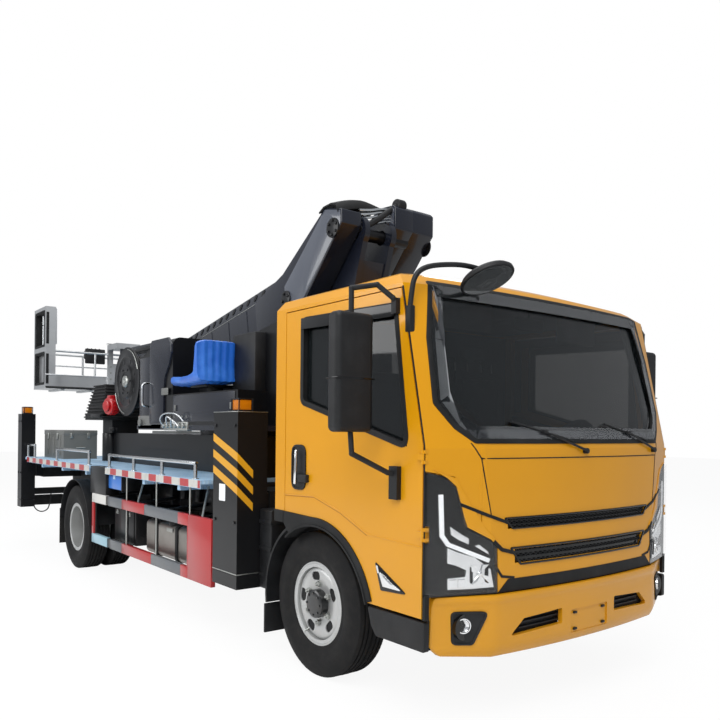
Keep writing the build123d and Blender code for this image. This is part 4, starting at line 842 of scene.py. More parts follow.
def add_strip(bm, path, width, place, low, high, pitch=None, rounding=0):
    """A strip of even width along a path on a surface."""
    left, right = [], []
    for n, point in enumerate(path):
        here = Vector(point)
        ways = [(Vector(b) - Vector(a)).normalized() for a, b in zip(path, path[1:])][max(n - 1, 0) : n + 1]
        normals = [Vector((-way.y, way.x)) for way in ways]
        middle = sum(normals, Vector((0, 0))).normalized()
        step = middle * (width / 2) / max(0.3, middle.dot(normals[0]))
        left.append(tuple(here + step))
        right.append(tuple(here - step))
    add_sheet(bm, left + right[::-1], place, low, high, pitch=pitch, rounding=rounding)


def rect(low, foot, high, top):
    """The corners of a rectangle."""
    return [(low, foot), (high, foot), (high, top), (low, top)]


def sided(side, outline):
    """An outline as it is drawn, or its mirror image when side is -1."""
    return [(side * across, height) for across, height in outline]


print("the cab reaches", round(cab_front(0, 1400)), "mm ahead of the axle at its middle")

# %% [markdown]
# The windscreen is glued in, so its glass lies nearly flush. A black ceramic band is fired on the
# inside of its rim, and a rubber seal closes the gap to the paint. It is one bent pane; the small pane
# in the back wall is flat.

# %% Windscreen, seal and rear pane
screen_opening = [(-855, 2115), (-905, 1560), (-725, 1380), (725, 1380), (905, 1560), (855, 2115)]
rear_opening = rect(-420, 1500, 420, 1950)
screen_round, rear_round = soften(screen_opening, 45), soften(rear_opening, 40)
bm = bmesh.new()
add_sheet(bm, inset(screen_round, 2), on_face, -20, -14, pitch=50)
add_sheet(bm, inset(rear_round, 1), on_back_wall, -31, -25)
finish("cab_glazing", bm, safety_glass, "chassis", "glass", ["cab_glass"])
bm = bmesh.new()
for start, end in (((-140, 1490), (-140, 1960)), ((140, 1490), (140, 1960)), ((-430, 1725), (430, 1725))):
    add_rod(bm, on_back_wall(*start, 22), on_back_wall(*end, 22), 7, 12)
for foot in ((-425, 1725), (425, 1725), (-140, 1486), (-140, 1964), (140, 1486), (140, 1964)):
    add_rod(bm, on_back_wall(*foot, -4), on_back_wall(*foot, 26), 9, 12)
finish("rear_window_bars", bm, black_plastic, "chassis", "black_paint")

# %% Window seals and trims
half_seal = [(893, 2152), (950, 1860), (966, 1540), (880, 1424), (785, 1354)]
seal_edge = sided(-1, half_seal) + half_seal[::-1]
bm = bmesh.new()
outer_seal = soften(seal_edge, 34)
add_sheet(bm, outer_seal, on_face, -3, 5, hole=inset(outer_seal, 24), pitch=50, rounding=1.5)
add_sheet(bm, inset(outer_seal, 20), on_face, -6, 1, hole=inset(outer_seal, 82), pitch=50)
add_sheet(bm, inset(soften(screen_opening, 4), -2), on_face, -62, -1, hole=inset(screen_round, 6), pitch=50)
add_sheet(bm, inset(rear_round, -18), on_back_wall, -64, 4, hole=inset(rear_round, 8))
finish("window_seals", bm, seal_rubber, "chassis", "dark_plastic")
bm = bmesh.new()
add_sheet(bm, inset(screen_round, 3), on_face, -13.5, -12.5, hole=inset(screen_round, 44), pitch=50)
add_sheet(bm, soften([(-700, 1384), (700, 1384), (690, 1440), (-690, 1440)], 8), on_face, -12.8, -12, pitch=50)
finish("windscreen_ceramic_band", bm, gloss_black, "chassis", "dark_plastic")
bm = bmesh.new()
for side in (1, -1):
    trim = sided(side, [(862, 2100), (905, 1850), (925, 1560), (850, 1440), (800, 1395), (846, 1470), (872, 1600),
                        (858, 1880), (828, 2100)])
    add_sheet(bm, soften(trim, 10), on_face, 0, 2, pitch=50)
finish("windscreen_pillar_trim", bm, headliner, "chassis", "fabric")
bm = bmesh.new()
for side in (1, -1):
    handle = sided(side, [(858, 2040), (880, 1900), (868, 1790), (852, 1900), (846, 2040)])
    add_sheet(bm, soften(handle, 8), on_face, 1, 4, pitch=50)
add_sheet(bm, soften([(-800, 1372), (800, 1372), (840, 1420), (-840, 1420)], 8), on_face, 0, 3, pitch=50)
finish("windscreen_pillar_handles", bm, dash_plastic, "chassis", "dark_plastic")
bm = bmesh.new()
add_sheet(bm, inset(outer_seal, 24), on_face, 3, 5, hole=inset(outer_seal, 84), pitch=50)
finish("windscreen_edge_glass", bm, smoked_glass, "chassis", "glass")

# %% [markdown]
# Inside, painted metal is covered: felt on the roof, moulded trim on the back wall and light grey
# trim up the windscreen pillars. Sun visors and a mirror hang from the roof's front edge.

# %% Cab lining
bm = bmesh.new()
add_box(bm, (-262, -870, 2126), (640, 870, 2140), 5)
for side in (1, -1):
    pillar = sided(side, [(822, 2085), (872, 1570), (928, 1580), (878, 2100)])
    add_sheet(bm, soften(pillar, 12), on_face, -76, -64, rounding=3)
    add_box(bm, (700, side * 480 - 190, 1955), (712, side * 480 + 190, 2110), 4)
finish("roof_felt_and_pillar_trim", bm, headliner, "chassis", "fabric")
bm = bmesh.new()
back_trim = rect(-955, 905, 955, 2120)
add_sheet(bm, back_trim, on_back_wall, -72, -64, hole=inset(rear_opening, -4), rounding=2)
add_box(bm, (-275, -960, 900), (965, 960, 904), 1)
add_rod(bm, (735, 0, 2060), (730, 0, 2128), 7, 12)
add_box(bm, (722, -125, 1990), (748, 125, 2062), 8)
finish("cab_back_trim_and_floor_mat", bm, dash_plastic, "chassis", "dark_plastic")

# %% [markdown]
# The front panel is one big lid. Its edge shows as a fine dark line under the windscreen that turns
# down at both ends. Below it two black bands hold the grilles, whose ends are cut at a slant, and fine
# black lines run from them to the lamps.

# %% Panel lines and grille bands
bm = bmesh.new()
add_strip(bm, [(-703, 1010), (-757, 1283), (757, 1283), (703, 1010)], 5, on_face, -3, 2)
for side in (1, -1):
    add_strip(bm, [(side * 757, 1283), (side * 806, 1356)], 5, on_face, -3, 2)
    add_strip(bm, sided(side, [(862, 1068), (720, 1012), (600, 972)]), 15, on_face, -3, 5)
    add_strip(bm, sided(side, [(690, 888), (640, 845), (560, 824)]), 18, on_face, -3, 5)
    add_strip(bm, sided(side, [(686, 778), (640, 716), (560, 704)]), 12, on_face, -3, 3)
add_sheet(bm, [(-664, 641), (664, 641), (600, 700), (-600, 700)], on_face, -3, 3)
add_sheet(bm, rect(-940, 596, 940, 668), on_face, -44, -34, pitch=50)
finish("panel_lines", bm, seal_rubber, "chassis", "dark_plastic")
bm = bmesh.new()
for side in (1, -1):
    add_strip(bm, [(side * 757, 1350), (side * 757, 1288)], 12, on_face, -2, 0.7, pitch=50)
    add_strip(bm, [(side * 757, 1278), (side * 757, 1030)], 12, on_face, -2, 0.7, pitch=50)
finish("panel_edge_filler", bm, cab_enamel, "chassis", "cab_yellow")

# %% Grilles
CELL_ROWS, CELL_PITCH, CELL_WALL = 3, 34, 2.6
grille_bands = ((630, 998, 572, 938), (592, 852, 522, 762))  # half width and height, at the top and the foot
bm, cells = bmesh.new(), bmesh.new()
for wide, top, narrow, foot in grille_bands:
    outline = soften([(-wide, top), (wide, top), (narrow, foot), (-narrow, foot)], 10)
    add_sheet(bm, outline, on_face, -1, 6, hole=inset(outline, 9), pitch=50, rounding=2)
    add_sheet(bm, inset(outline, 4), on_face, -14, -12, pitch=50)
    for row in range(CELL_ROWS):
        up = (row + 0.5) / CELL_ROWS
        half_row = narrow + (wide - narrow) * up - 12
        count = round(2 * half_row / CELL_PITCH)
        for number in range(count):
            middle = half_row * (2 * (number + 0.5) / count - 1)
            cell = [(middle + 15 * math.cos(a), foot + (top - foot) * up + 8.5 * math.sin(a)) for a in angles(6)]
            add_sheet(cells, cell, on_face, -12, -2, hole=inset(cell, CELL_WALL), pitch=FLAT_PITCH)
finish("grille_frames", bm, gloss_black, "chassis", "dark_plastic")
finish("grille_honeycomb", cells, black_plastic, "chassis", "dark_plastic")

# %% [markdown]
# Each headlamp is a black housing with a thin white light guide bent like a hockey stick, a bright
# reflector strip beside it, and a low square unit whose dish has four facets. A flush clear cover lies
# over the unit. In the bumper a small round fog lamp sits in a black bezel.

# %% Headlamps and fog lamps
guide = [(-957, 1116), (-950, 925), (-920, 882), (-714, 797)]
housing_edge = [(-1040, 1231), (-998, 1226), (-921, 1188), (-877, 1146), (-856, 1070), (-840, 1009), (-825, 956),
                (-704, 895), (-674, 869), (-668, 640), (-1040, 640)]
panel_beside = [(-995, 1232), (-880, 1190), (-745, 968), (-650, 872), (-674, 866), (-704, 897), (-822, 958),
                (-840, 1009), (-856, 1070), (-880, 1152), (-925, 1192)]
bright_strips = (
    [(-911, 966), (-905, 926), (-870, 902), (-818, 878), (-818, 908), (-850, 925)],
    [(-790, 870), (-768, 878), (-722, 842), (-716, 826)],
    [(-922, 867), (-873, 845), (-788, 817), (-707, 757), (-690, 670), (-806, 668), (-920, 671), (-920, 724),
     (-834, 728), (-830, 757), (-876, 780), (-922, 794)])
for side_name, side in SIDES.items():
    bm = bmesh.new()
    add_strip(bm, sided(-side, guide), 21, on_face, 0, 7, rounding=3)
    finish(f"light_guide_{side_name}", bm, white_guide, "chassis", "lamp")
    bm = bmesh.new()
    add_sheet(bm, sided(-side, panel_beside), on_face, -3, 4, rounding=1)
    finish(f"lamp_side_panel_{side_name}", bm, cab_enamel, "chassis", "cab_yellow")
    bm = bmesh.new()
    for outline in bright_strips:
        add_sheet(bm, sided(-side, outline), on_face, -1, 5, rounding=2)
    for low, high in ((-916, -880), (-872, -838)):
        add_sheet(bm, sided(-side, rect(low, 678, high, 718)), on_face, 4, 9, rounding=3)
    centre = on_face(side * 766, 738, 9)
    inward = Vector((-0.93, side * -0.37, 0))
    for a in angles(4, 45):
        for sweep, level in ((-0.5, 13), (0.5, 6)):
            wing = [(766, 738), (766 + 62 * math.cos(a), 738 + 62 * math.sin(a)),
                    (766 + 44 * math.cos(a + sweep), 738 + 44 * math.sin(a + sweep))]
            add_sheet(bm, sided(side, wing), on_face, 4, level, rounding=1)
    add_lathe(bm, [(4, 14), (-4, 12), (-7, 7), (-8, 0.01)], centre, inward, steps=20)
    finish(f"reflectors_{side_name}", bm, chrome, "chassis", "lamp", crease=20)
    bm = bmesh.new()
    for low, high in ((-813, -800), (-738, -722)):
        add_sheet(bm, sided(-side, [(low, 700), (high, 690), (high, 776), (low, 770)]), on_face, 4, 10, rounding=1)
    finish(f"lamp_dish_shades_{side_name}", bm, gloss_black, "chassis", "dark_plastic")
    bm = bmesh.new()
    add_sheet(bm, inset(soften(sided(-side, housing_edge), 10), 10), on_face, 15, 17, rounding=1)
    fog_lamp, fog_back = on_bumper(side * 838, 497, 0), Vector((-0.9, side * -0.43, 0))
    add_lathe(bm, [(-9, 30), (-13, 26), (-15, 14), (-16, 0.01)], fog_lamp, fog_back, steps=32)
    finish(f"lamp_covers_{side_name}", bm, clear_lens, "chassis", "lamp")
    bm = bmesh.new()
    add_lathe(bm, [(2, 0.01), (2, 10), (5, 22), (10, 29), (15, 31), (15, 36), (6, 38), (-6, 38)], fog_lamp, -fog_back,
              steps=40)
    finish(f"fog_lamp_bowl_{side_name}", bm, chrome, "chassis", "lamp", crease=25)
    bm = bmesh.new()
    bezel = soften(sided(-side, [(-894, 564), (-722, 560), (-796, 402), (-890, 408)]), 24)
    add_sheet(bm, bezel, on_bumper, -3, 9, hole=inset(bezel, 10), rounding=2)
    add_sheet(bm, inset(bezel, 8), on_bumper, -3, 3)
    finish(f"fog_lamp_bezel_{side_name}", bm, black_plastic, "chassis", "dark_plastic")

# %% [markdown]
# The bumper is one moulding with a rolled lip above and a chin that tucks under. It is a curved sheet
# from which the openings are carved: a long intake each side with a slanted end, and a shallow place
# for a number plate, left blank, with four dark studs.

# %% Bumper
def bumper_skin(across, height, proud):
    """The bumper's surface: a lip at its top, a tucked chin, and ends that sweep up."""
    lip = 9 * min(1, max(0, (height - 585) / 25))
    chin = 30 * max(0, (400 - height) / 70) ** 2
    return on_bumper(across, height, proud + lip - chin)


bumper_outline = [(-975, 634), (-985, 400), (-930, 352), (-690, 333), (690, 333), (930, 352), (985, 400), (975, 634)]
intake = [(-600, 424), (-505, 502), (-228, 518), (-228, 440), (-400, 434)]
plate_place = rect(-160, 378, 160, 498)
shell = bmesh.new()
add_sheet(shell, soften(bumper_outline, 26), bumper_skin, -26, 0, pitch=35,
          level_cuts=(350, 365, 380, 400, 585, 595, 603, 611, 622), rounding=3)
cutter = bmesh.new()
for outline in (intake, sided(-1, intake)[::-1]):
    add_sheet(cutter, soften(outline, 12), on_bumper, -60, 40)
add_sheet(cutter, soften(plate_place, 10), on_bumper, -7, 40)
shell = carved(shell, cutter)
finish("bumper_moulding", shell, cab_enamel, "chassis", "cab_yellow", ["bumper"], crease=28)
bm = bmesh.new()
for outline in (intake, sided(-1, intake)[::-1]):
    add_sheet(bm, inset(outline, -14), on_bumper, -46, -40)
    side = -1 if outline is intake else 1
    for height in (452, 478):
        add_strip(bm, [(side * 520, height), (side * 236, height + 6)], 7, on_bumper, -40, -20, rounding=2)
for across in (-122, 122):
    for height in (396, 480):
        add_box(bm, on_bumper(across, height, -9) + Vector((0, -13, -6)) * MM,
                on_bumper(across, height, 3) + Vector((0, 13, 6)) * MM, 2)
finish("bumper_inserts", bm, black_plastic, "chassis", "dark_plastic")

# %% [markdown]
# Two wipers rest along the foot of the windscreen. Each has a black arm from a capped spindle and a
# thin blade of rubber on a carrier that follows the glass.

# %% Wipers
bm = bmesh.new()
for pivot, heel, tip in (((-30, 1316), (-122, 1368), (-545, 1462)), ((706, 1316), (640, 1372), (205, 1460))):
    middle = tuple((a + b) / 2 for a, b in zip(heel, tip))
    add_rod(bm, on_face(*pivot, -6), on_face(*pivot, 24), 15, 20, rounding=3)
    add_rod(bm, on_face(*pivot, 20), on_face(*middle, 20), 7.5, 12, end_radius=4)
    add_strip(bm, [heel, middle, tip], 9, on_face, 1, 13, rounding=2)
    add_strip(bm, [heel, middle, tip], 4, on_face, -9, 2)
    add_box(bm, on_face(*middle, 12) - Vector((8, 16, 9)) * MM, on_face(*middle, 24) + Vector((2, 16, 9)) * MM, 3)
finish("wipers", bm, black_plastic, "chassis", "dark_plastic")

# %% [markdown]
# A convex mirror hangs over the right front corner so that the driver sees the ground ahead. Its
# back is a shallow black dish. The door mirrors have a seam round the housing, and their silvered
# glass faces backwards.

# %% Mirrors
arm = [(850, -1022, 1950), (862, -1020, 2060), (872, -1010, 2150), (890, -960, 2196), (925, -860, 2216),
       (965, -740, 2222), (985, -660, 2205)]
bent_tube("front_mirror_arm", [arm], 13, black_plastic, "chassis", "dark_plastic", replaces=["front_mirror"])
bm = bmesh.new()
dish_axis = Vector((0.42, 0.05, -0.9)).normalized()
dish_centre = at(985, -640, 2186)
add_lathe(bm, [(-16, 0.01), (-15, 30), (-10, 90), (2, 124), (16, 137), (30, 138), (34, 134), (34, 126)],
          dish_centre, dish_axis, steps=56)
add_rod(bm, dish_centre - dish_axis * 0.034, dish_centre - dish_axis * 0.006, 26, 24, rounding=4)
add_box(bm, (832, -1034, 1880), (872, -1000, 2010), 8)
finish("front_mirror_dish", bm, black_plastic, "chassis", "dark_plastic")
bm = bmesh.new()
add_lathe(bm, [(34, 126), (33.5, 90), (31, 40), (30, 0.01)], dish_centre, dish_axis, steps=56)
finish("front_mirror_glass", bm, mirror_silver, "chassis", "chrome")
for side_name, side in SIDES.items():
    bm = bmesh.new()
    for low, high in ((1432, 1640), (1670, 1940)):
        add_box(bm, (646, side * 1158, low), (652, side * 1342, high), 2)
    finish(f"door_mirror_glass_{side_name}", bm, mirror_silver, f"door_{side_name}", "chrome")
    bm = bmesh.new()
    add_box(bm, (648, side * 1139, 1652), (742, side * 1361, 1659), 1)
    finish(f"door_mirror_seam_{side_name}", bm, gloss_black, f"door_{side_name}", "dark_plastic")

# %% [markdown]
# Each door carries its seals, a smoked rain strip over the window, an oval cup with an upright pull, a
# side lamp low down, and a black lip round the wheel. A crease runs along the panel and dips over the
# arch. The same outlines serve both doors.

# %% Door details
window = [(-56, 2040), (760, 2020), (855, 1335), (-56, 1571)]
# a darker enamel for the painted shadow that the crease casts along the door
crease_shade = paint("enamel_painted_crease_shadow", "#B07204", 0.45, 0.1, 0.1, specular=0.2)


def over_wheel(radius, first, last):
    """Points every 5 degrees on the wheel arch's curve."""
    return [(90 + radius * math.cos(a), 385 + radius * math.sin(a)) for a in map(math.radians, range(first, last, 5))]


for side_name, side in SIDES.items():
    body, skin = f"door_{side_name}", on_flank(side, CAB_SIDE)
    glass_edge = soften(window, 40)
    bm = bmesh.new()
    add_sheet(bm, inset(glass_edge, -16), skin, -1, 4, hole=inset(glass_edge, 14), rounding=1.5)
    add_sheet(bm, inset(soften(window, 3), -1), skin, -61, -0.5, hole=inset(glass_edge, 9))
    rear_edge = [(-233, 931), (-233, 864), (-166, 795), (-110, 833), (-40, 856)]
    add_sheet(bm, over_wheel(538, 18, 94) + rear_edge + over_wheel(488, 18, 94)[::-1], skin, -6, 9, rounding=3)
    add_strip(bm, over_wheel(492, 17, 128), 14, skin, -64, 14, rounding=4)
    finish(f"door_seals_{side_name}", bm, seal_rubber, body, "dark_plastic")
    bm = bmesh.new()
    add_strip(bm, [(-60, 2018), (762, 1996)], 62, skin, 9, 12, rounding=1)
    finish(f"rain_strip_{side_name}", bm, gloss_black, body, "dark_plastic")
    bm = bmesh.new()
    cup = soften(rect(-152, 1066, -6, 1326), 56, 8)
    add_sheet(bm, cup, skin, -1, 9, hole=inset(cup, 12), rounding=3)
    add_sheet(bm, inset(cup, 8), skin, -1, 3)
    add_box(bm, (-96, side * 1029, 1112), (26, side * 1056, 1158), 6)
    add_sheet(bm, soften([(570, 524), (992, 524), (992, 386), (640, 386), (600, 430)], 14), skin, -26, 4,
              rounding=3)
    finish(f"door_cup_{side_name}", bm, black_plastic, body, "dark_plastic")
    bm = bmesh.new()
    add_rod(bm, skin(-74, 1100, 32), skin(-74, 1296, 24), 9, 20, rounding=4)
    add_sheet(bm, soften([(655, 712), (690, 642), (838, 642), (760, 668), (700, 700)], 5), skin, 3, 6,
              rounding=1)
    add_sheet(bm, soften([(634, 740), (650, 700), (662, 706), (650, 738)], 3), skin, 3, 6, rounding=1)
    finish(f"door_pull_{side_name}", bm, chrome, body, "chrome")
    bm = bmesh.new()
    add_sheet(bm, soften([(624, 758), (672, 620), (868, 632)], 8), skin, -1, 4, rounding=1)
    finish(f"side_lamp_{side_name}", bm, gloss_black, body, "dark_plastic")
    bm = bmesh.new()
    add_strip(bm, [(-225, 1030), (76, 1041), (330, 975), (556, 885), (960, 872)], 9, skin, -1, 2.5,
              rounding=1.5)
    finish(f"door_crease_{side_name}", bm, cab_enamel, body, "cab_yellow")
    # a thin strip of darker enamel just below the crease: painted shadow of the crease
    bm = bmesh.new()
    add_strip(bm, [(-226, 1024), (76, 1035), (328, 969), (554, 879)], 7, skin, -1, 1.5)
    finish(f"door_crease_shade_{side_name}", bm, crease_shade, body, "cab_yellow")
    bm = bmesh.new()
    add_strip(bm, [(812, 2108), (978, 1341), (978, 640)], 9, skin, -4, 1.5)
    add_sheet(bm, [(-339, 933), (-339, 862), (-238, 862), (-238, 932)], skin, -4, 8, rounding=3)
    add_sheet(bm, [(975, 652), (975, 534), (993, 534), (993, 652)], skin, -24, 1.5)
    add_sheet(bm, rect(600, 500, 980, 610), skin, -86, -76)
    finish(f"cab_corner_gap_{side_name}", bm, seal_rubber, "chassis", "dark_plastic")
    bm = bmesh.new()
    lower = [(-205, 1540), (860, 1300), (940, 1250), (940, 560), (586, 560), (560, 660), (430, 800), (250, 884),
             (-205, 884)]
    add_sheet(bm, soften(lower, 20), skin, -72, -61, rounding=4)
    add_sheet(bm, soften([(-20, 1110), (560, 1050), (560, 1130), (-20, 1190)], 20), skin, -118, -72,
              rounding=10)
    add_strip(bm, [(-150, 1560), (-150, 2070), (790, 2052), (930, 1330)], 60, skin, -70, -61, rounding=3)
    finish(f"door_inner_trim_{side_name}", bm, dash_plastic, body, "dark_plastic")

# %% [markdown]
# The outrigger legs are square tubes. Three yellow bands slope round the outer corner of each front
# leg, a blank plate sits below them, a bright line marks where the foot slides in, and an amber lamp in
# a small cage stands on top. The left legs mirror the right ones.

# %% Legs
LEG_SIDE, LEG_FACE = 1120, -651
for side_name, side in SIDES.items():
    body, leg_side = f"outrigger_front_{side_name}", on_flank(side, LEG_SIDE)

    def leg_face(across, height, proud):
        return at(LEG_FACE + proud, side * across, height)

    bm = bmesh.new()
    for drop in (0, 105, 210):
        add_sheet(bm, [(-984, 1382 - drop), (-651, 1261 - drop), (-651, 1207 - drop), (-984, 1332 - drop)],
                  leg_side, -1, 1.2)
        add_sheet(bm, [(1121, 1261 - drop), (1008, 1150 - drop), (1008, 1098 - drop), (1121, 1207 - drop)],
                  leg_face, -1, 1.2)
    finish(f"leg_bands_{side_name}", bm, stripe_yellow, body, None)
    bm = bmesh.new()
    add_sheet(bm, soften(rect(-895, 1054, -812, 944), 6), leg_side, -1, 1.5)
    finish(f"leg_blank_plate_{side_name}", bm, white_guide, body, None)
for end, reach, across, foot, top, half_x, half_y in (("front", -817.5, 1011.5, 487, 1524, 166.5, 108.5),
                                                     ("rear", -6250, 1040, 525, 1576, 90, 80)):
    lamp_x = -797.5 if end == "front" else -6230
    for side_name, side in SIDES.items():
        body = f"outrigger_{end}_{side_name}"
        bm = bmesh.new()
        for low, high in ((foot - 1, foot + 6), (top - 3, top + 1)):
            add_box(bm, (reach - half_x - 2, side * across - half_y - 2, low),
                    (reach + half_x + 2, side * across + half_y + 2, high), 1)
        finish(f"leg_edges_{end}_{side_name}", bm, zinc if end == "front" else leg_paint, body, None)
        bm = bmesh.new()
        add_box(bm, (lamp_x - 47, side * across - 47, top + 10), (lamp_x + 47, side * across + 47, top + 84), 9, 3)
        finish(f"leg_lamp_{end}_{side_name}", bm, amber_lens, body, None)
        bm = bmesh.new()
        for low, high in ((top, top + 12), (top + 80, top + 88)):
            add_box(bm, (lamp_x - 52, side * across - 52, low), (lamp_x + 52, side * across + 52, high), 2)
        for dx, dy in ((-50, -50), (-50, 50), (50, -50), (50, 50)):
            add_rod(bm, (lamp_x + dx, side * across + dy, top), (lamp_x + dx, side * across + dy, top + 88), 4, 10)
        finish(f"leg_lamp_cage_{end}_{side_name}", bm, leg_paint, body, "black_paint")
        bm = bmesh.new()
        for height in (foot + 330, top - 90):
            for dx in (-half_x + 34, half_x - 34):
                add_rod(bm, (reach + dx, side * (across + half_y), height),
                        (reach + dx, side * (across + half_y + 7), height), 11, 6, rounding=1.5)
        finish(f"leg_bolts_{end}_{side_name}", bm, leg_paint, body, "black_paint")

# %% [markdown]
# Red and white reflecting tape runs along the folded edge of the deck. The handrails are bright tube with
# a slim post every so often. The low guard between the axles has rails in red and grey blocks, a red
# plate at its front end, a white block at the back of its upper rail and a pale blue one below.

# %% Deck edge, handrails and side guard
DECK_EDGE, RAIL_RADIUS = 1075, 14
pale_blue = paint("pale_blue_enamel", "#9CC6D6", 0.4, 0.3, 0.2)
label_white = paint("blank_label_white", "#DAD9D4", 0.5, 0.2, 0.2)
box_blue = paint("toolbox_enamel_blue", "#2E78D2", 0.35, 0.4, 0.2)
for side_name, side in SIDES.items():
    flank = on_flank(side, DECK_EDGE)
    bm = bmesh.new()
    for low, high in ((-3253, -1280), (-6078, -3715)):
        add_sheet(bm, rect(low, 993, high, 1048), flank, -1, 1.5)
    finish(f"deck_edge_tape_{side_name}", bm, deck_tape, "chassis", None)
    bm = bmesh.new()
    rail_y = side * 1050
    for low, high, height, posts in ((-3223, -1394, 1165, 4), (-4900, -3780, 1180, 2), (-6140, -5800, 1200, 2)):
        add_rod(bm, (low - 2, rail_y, height), (high + 2, rail_y, height), RAIL_RADIUS, 20, rounding=4)
        for post in range(posts):
            reach = low + 12 + (high - low - 24) * post / (posts - 1)
            add_rod(bm, (reach, rail_y, 1046), (reach, rail_y, height + 2), RAIL_RADIUS, 16)
            add_rod(bm, (reach, rail_y, 1049), (reach, rail_y, 1056), 26, 20, rounding=2)
    finish(f"deck_handrails_{side_name}", bm, stainless, "chassis", "chrome")
    bm = bmesh.new()
    for foot, top in ((331, 409), (711, 789)):
        add_box(bm, (-3604, side * 1046, foot), (-1100, side * 1074, top), 4)
    for reach in (-3560, -2730, -2080, -1480):
        add_rod(bm, (reach, side * 1052, 400), (reach, side * 1052, 720), 9, 14)
        add_rod(bm, (reach, side * 1052, 750), (reach, side * 620, 790), 16, 14)
    finish(f"side_guard_rails_{side_name}", bm, leg_paint, "chassis", "black_paint", ["side_guards"])
    blocks = {"red": [], "grey": [], "white": [], "blue": []}
    for low, high, colour in ((-3605, -3225, "white"), (-3160, -2812, "grey"), (-2812, -2300, "red"),
                              (-2300, -1645, "grey"), (-1645, -1467, "red")):
        blocks[colour].append((low, 708, high, 792))
    for low, high, colour in ((-3605, -3180, "blue"), (-3105, -2804, "grey"), (-2804, -2148, "red"),
                              (-2148, -1592, "grey"), (-1592, -1467, "red")):
        blocks[colour].append((low, 328, high, 412))
    blocks["red"] += [(-1467, 328, -1090, 792), (-3607, 412, -3560, 708), (-1480, 412, -1460, 708)]
    for colour, material in (("red", guard_red), ("grey", guard_grey), ("white", label_white), ("blue", pale_blue)):
        bm = bmesh.new()
        for low, foot, high, top in blocks[colour]:
            add_box(bm, (low, side * 1043, foot), (high, side * 1078, top), 3)
        finish(f"side_guard_{colour}_{side_name}", bm, material, "chassis", None)
    bm = bmesh.new()
    for reach, foot, top in ((-2730, 330, 1000), (-1464, 780, 1000), (-2080, 330, 1000)):
        add_rod(bm, (reach, side * 1062, foot), (reach, side * 1062, top), 7, 12)
    for start, end in (((-2738, 900, 985), (-2517, 1050, 770)), ((-1498, 900, 985), (-1294, 1050, 770))):
        add_rod(bm, (start[0], side * start[1], start[2]), (end[0], side * end[1], end[2]), 9, 12)
    finish(f"side_guard_stays_{side_name}", bm, zinc, "chassis", None)
    bm = bmesh.new()
    add_box(bm, (-3690, side * 940, 790), (-3255, side * 1068, 1046), 6)
    finish(f"deck_step_box_{side_name}", bm, leg_paint, "chassis", "black_paint")

# %% [markdown]
# Between the axles hang the fuel tank on its black straps, a battery and valve boxes with hinged
# doors and latches, a blue tool tray just under the deck, and on the deck the two grey toolboxes
# with lids, catches and carrying handles.

# %% Tank and boxes
bm = bmesh.new()
for reach in (-2343, -1940, -1722):
    ring = soften(rect(-958, 354, -502, 652), 44)
    add_plate(bm, [at(reach - 22, across, height) for across, height in ring], (44 * MM, 0, 0), 2)
finish("tank_straps", bm, seal_rubber, "chassis", None)
loop = [(-971, 575), (-964, 450), (-905, 362), (-820, 352), (-758, 410), (-745, 580)]
bent_tube("leg_hose_loop", [[(-6250, across, height) for across, height in loop]], 7, hose_rubber,
          "outrigger_rear_right", "dark_plastic")
bm = bmesh.new()
for reach in (-2343, -1940):
    add_box(bm, (reach - 60, -560, 600), (reach + 60, -430, 700), 6)
add_rod(bm, (-2080, -905, 636), (-2080, -905, 668), 46, 32, rounding=6)
finish("tank_cap_and_brackets", bm, black_plastic, "chassis", "dark_plastic")
bm = bmesh.new()
add_box(bm, (-2128, -957, 586), (-2012, -953, 618), 2)
add_rod(bm, (-2080, -905, 668), (-2080, -905, 676), 34, 32, rounding=3)
finish("tank_cap_cover", bm, zinc, "chassis", None)

# %% Boxes and latches under the deck
boxes = [(-3300, -2780, -1), (-3300, -2780, 1), (-2500, -1700, 1)]
bm = bmesh.new()
for low, high, side in boxes:
    add_box(bm, (low - 3, side * 428, 378), (high + 3, side * 963, 703), 10)
    add_box(bm, (low + 24, side * 960, 402), (high - 24, side * 972, 680), 6)
finish("under_deck_boxes", bm, leg_paint, "chassis", "black_paint")
bm = bmesh.new()
for low, high, side in boxes:
    for reach in (low + 110, high - 110):
        add_box(bm, (reach - 18, side * 968, 628), (reach + 18, side * 982, 668), 4)
        add_rod(bm, (reach, side * 978, 640), (reach, side * 990, 640), 9, 16, rounding=2)
finish("under_deck_latches", bm, zinc, "chassis", None)
bm = bmesh.new()
add_box(bm, (-3390, -1040, 858), (-2925, -985, 982), 10)
finish("tool_tray_blue", bm, box_blue, "chassis", None)
bm = bmesh.new()
add_box(bm, (-3380, -990, 862), (-2905, -700, 986), 10)
for reach in (-2912, -3384):
    add_box(bm, (reach - 8, -1046, 852), (reach + 8, -700, 1018), 3)
finish("tool_tray_frame", bm, leg_paint, "chassis", "black_paint")
bm = bmesh.new()
add_box(bm, (-2650, -620, 720), (-1250, -440, 1018), 14)
add_box(bm, (-3250, -640, 720), (-2760, -440, 1018), 14)
add_box(bm, (-2650, 440, 720), (-1250, 620, 1018), 14)
for reach in (-2500, -2200, -1900, -1500):
    add_rod(bm, (reach, -640, 800), (reach, -640, 960), 34, 20, rounding=6)
finish("under_deck_valves", bm, leg_paint, "chassis", "black_paint")

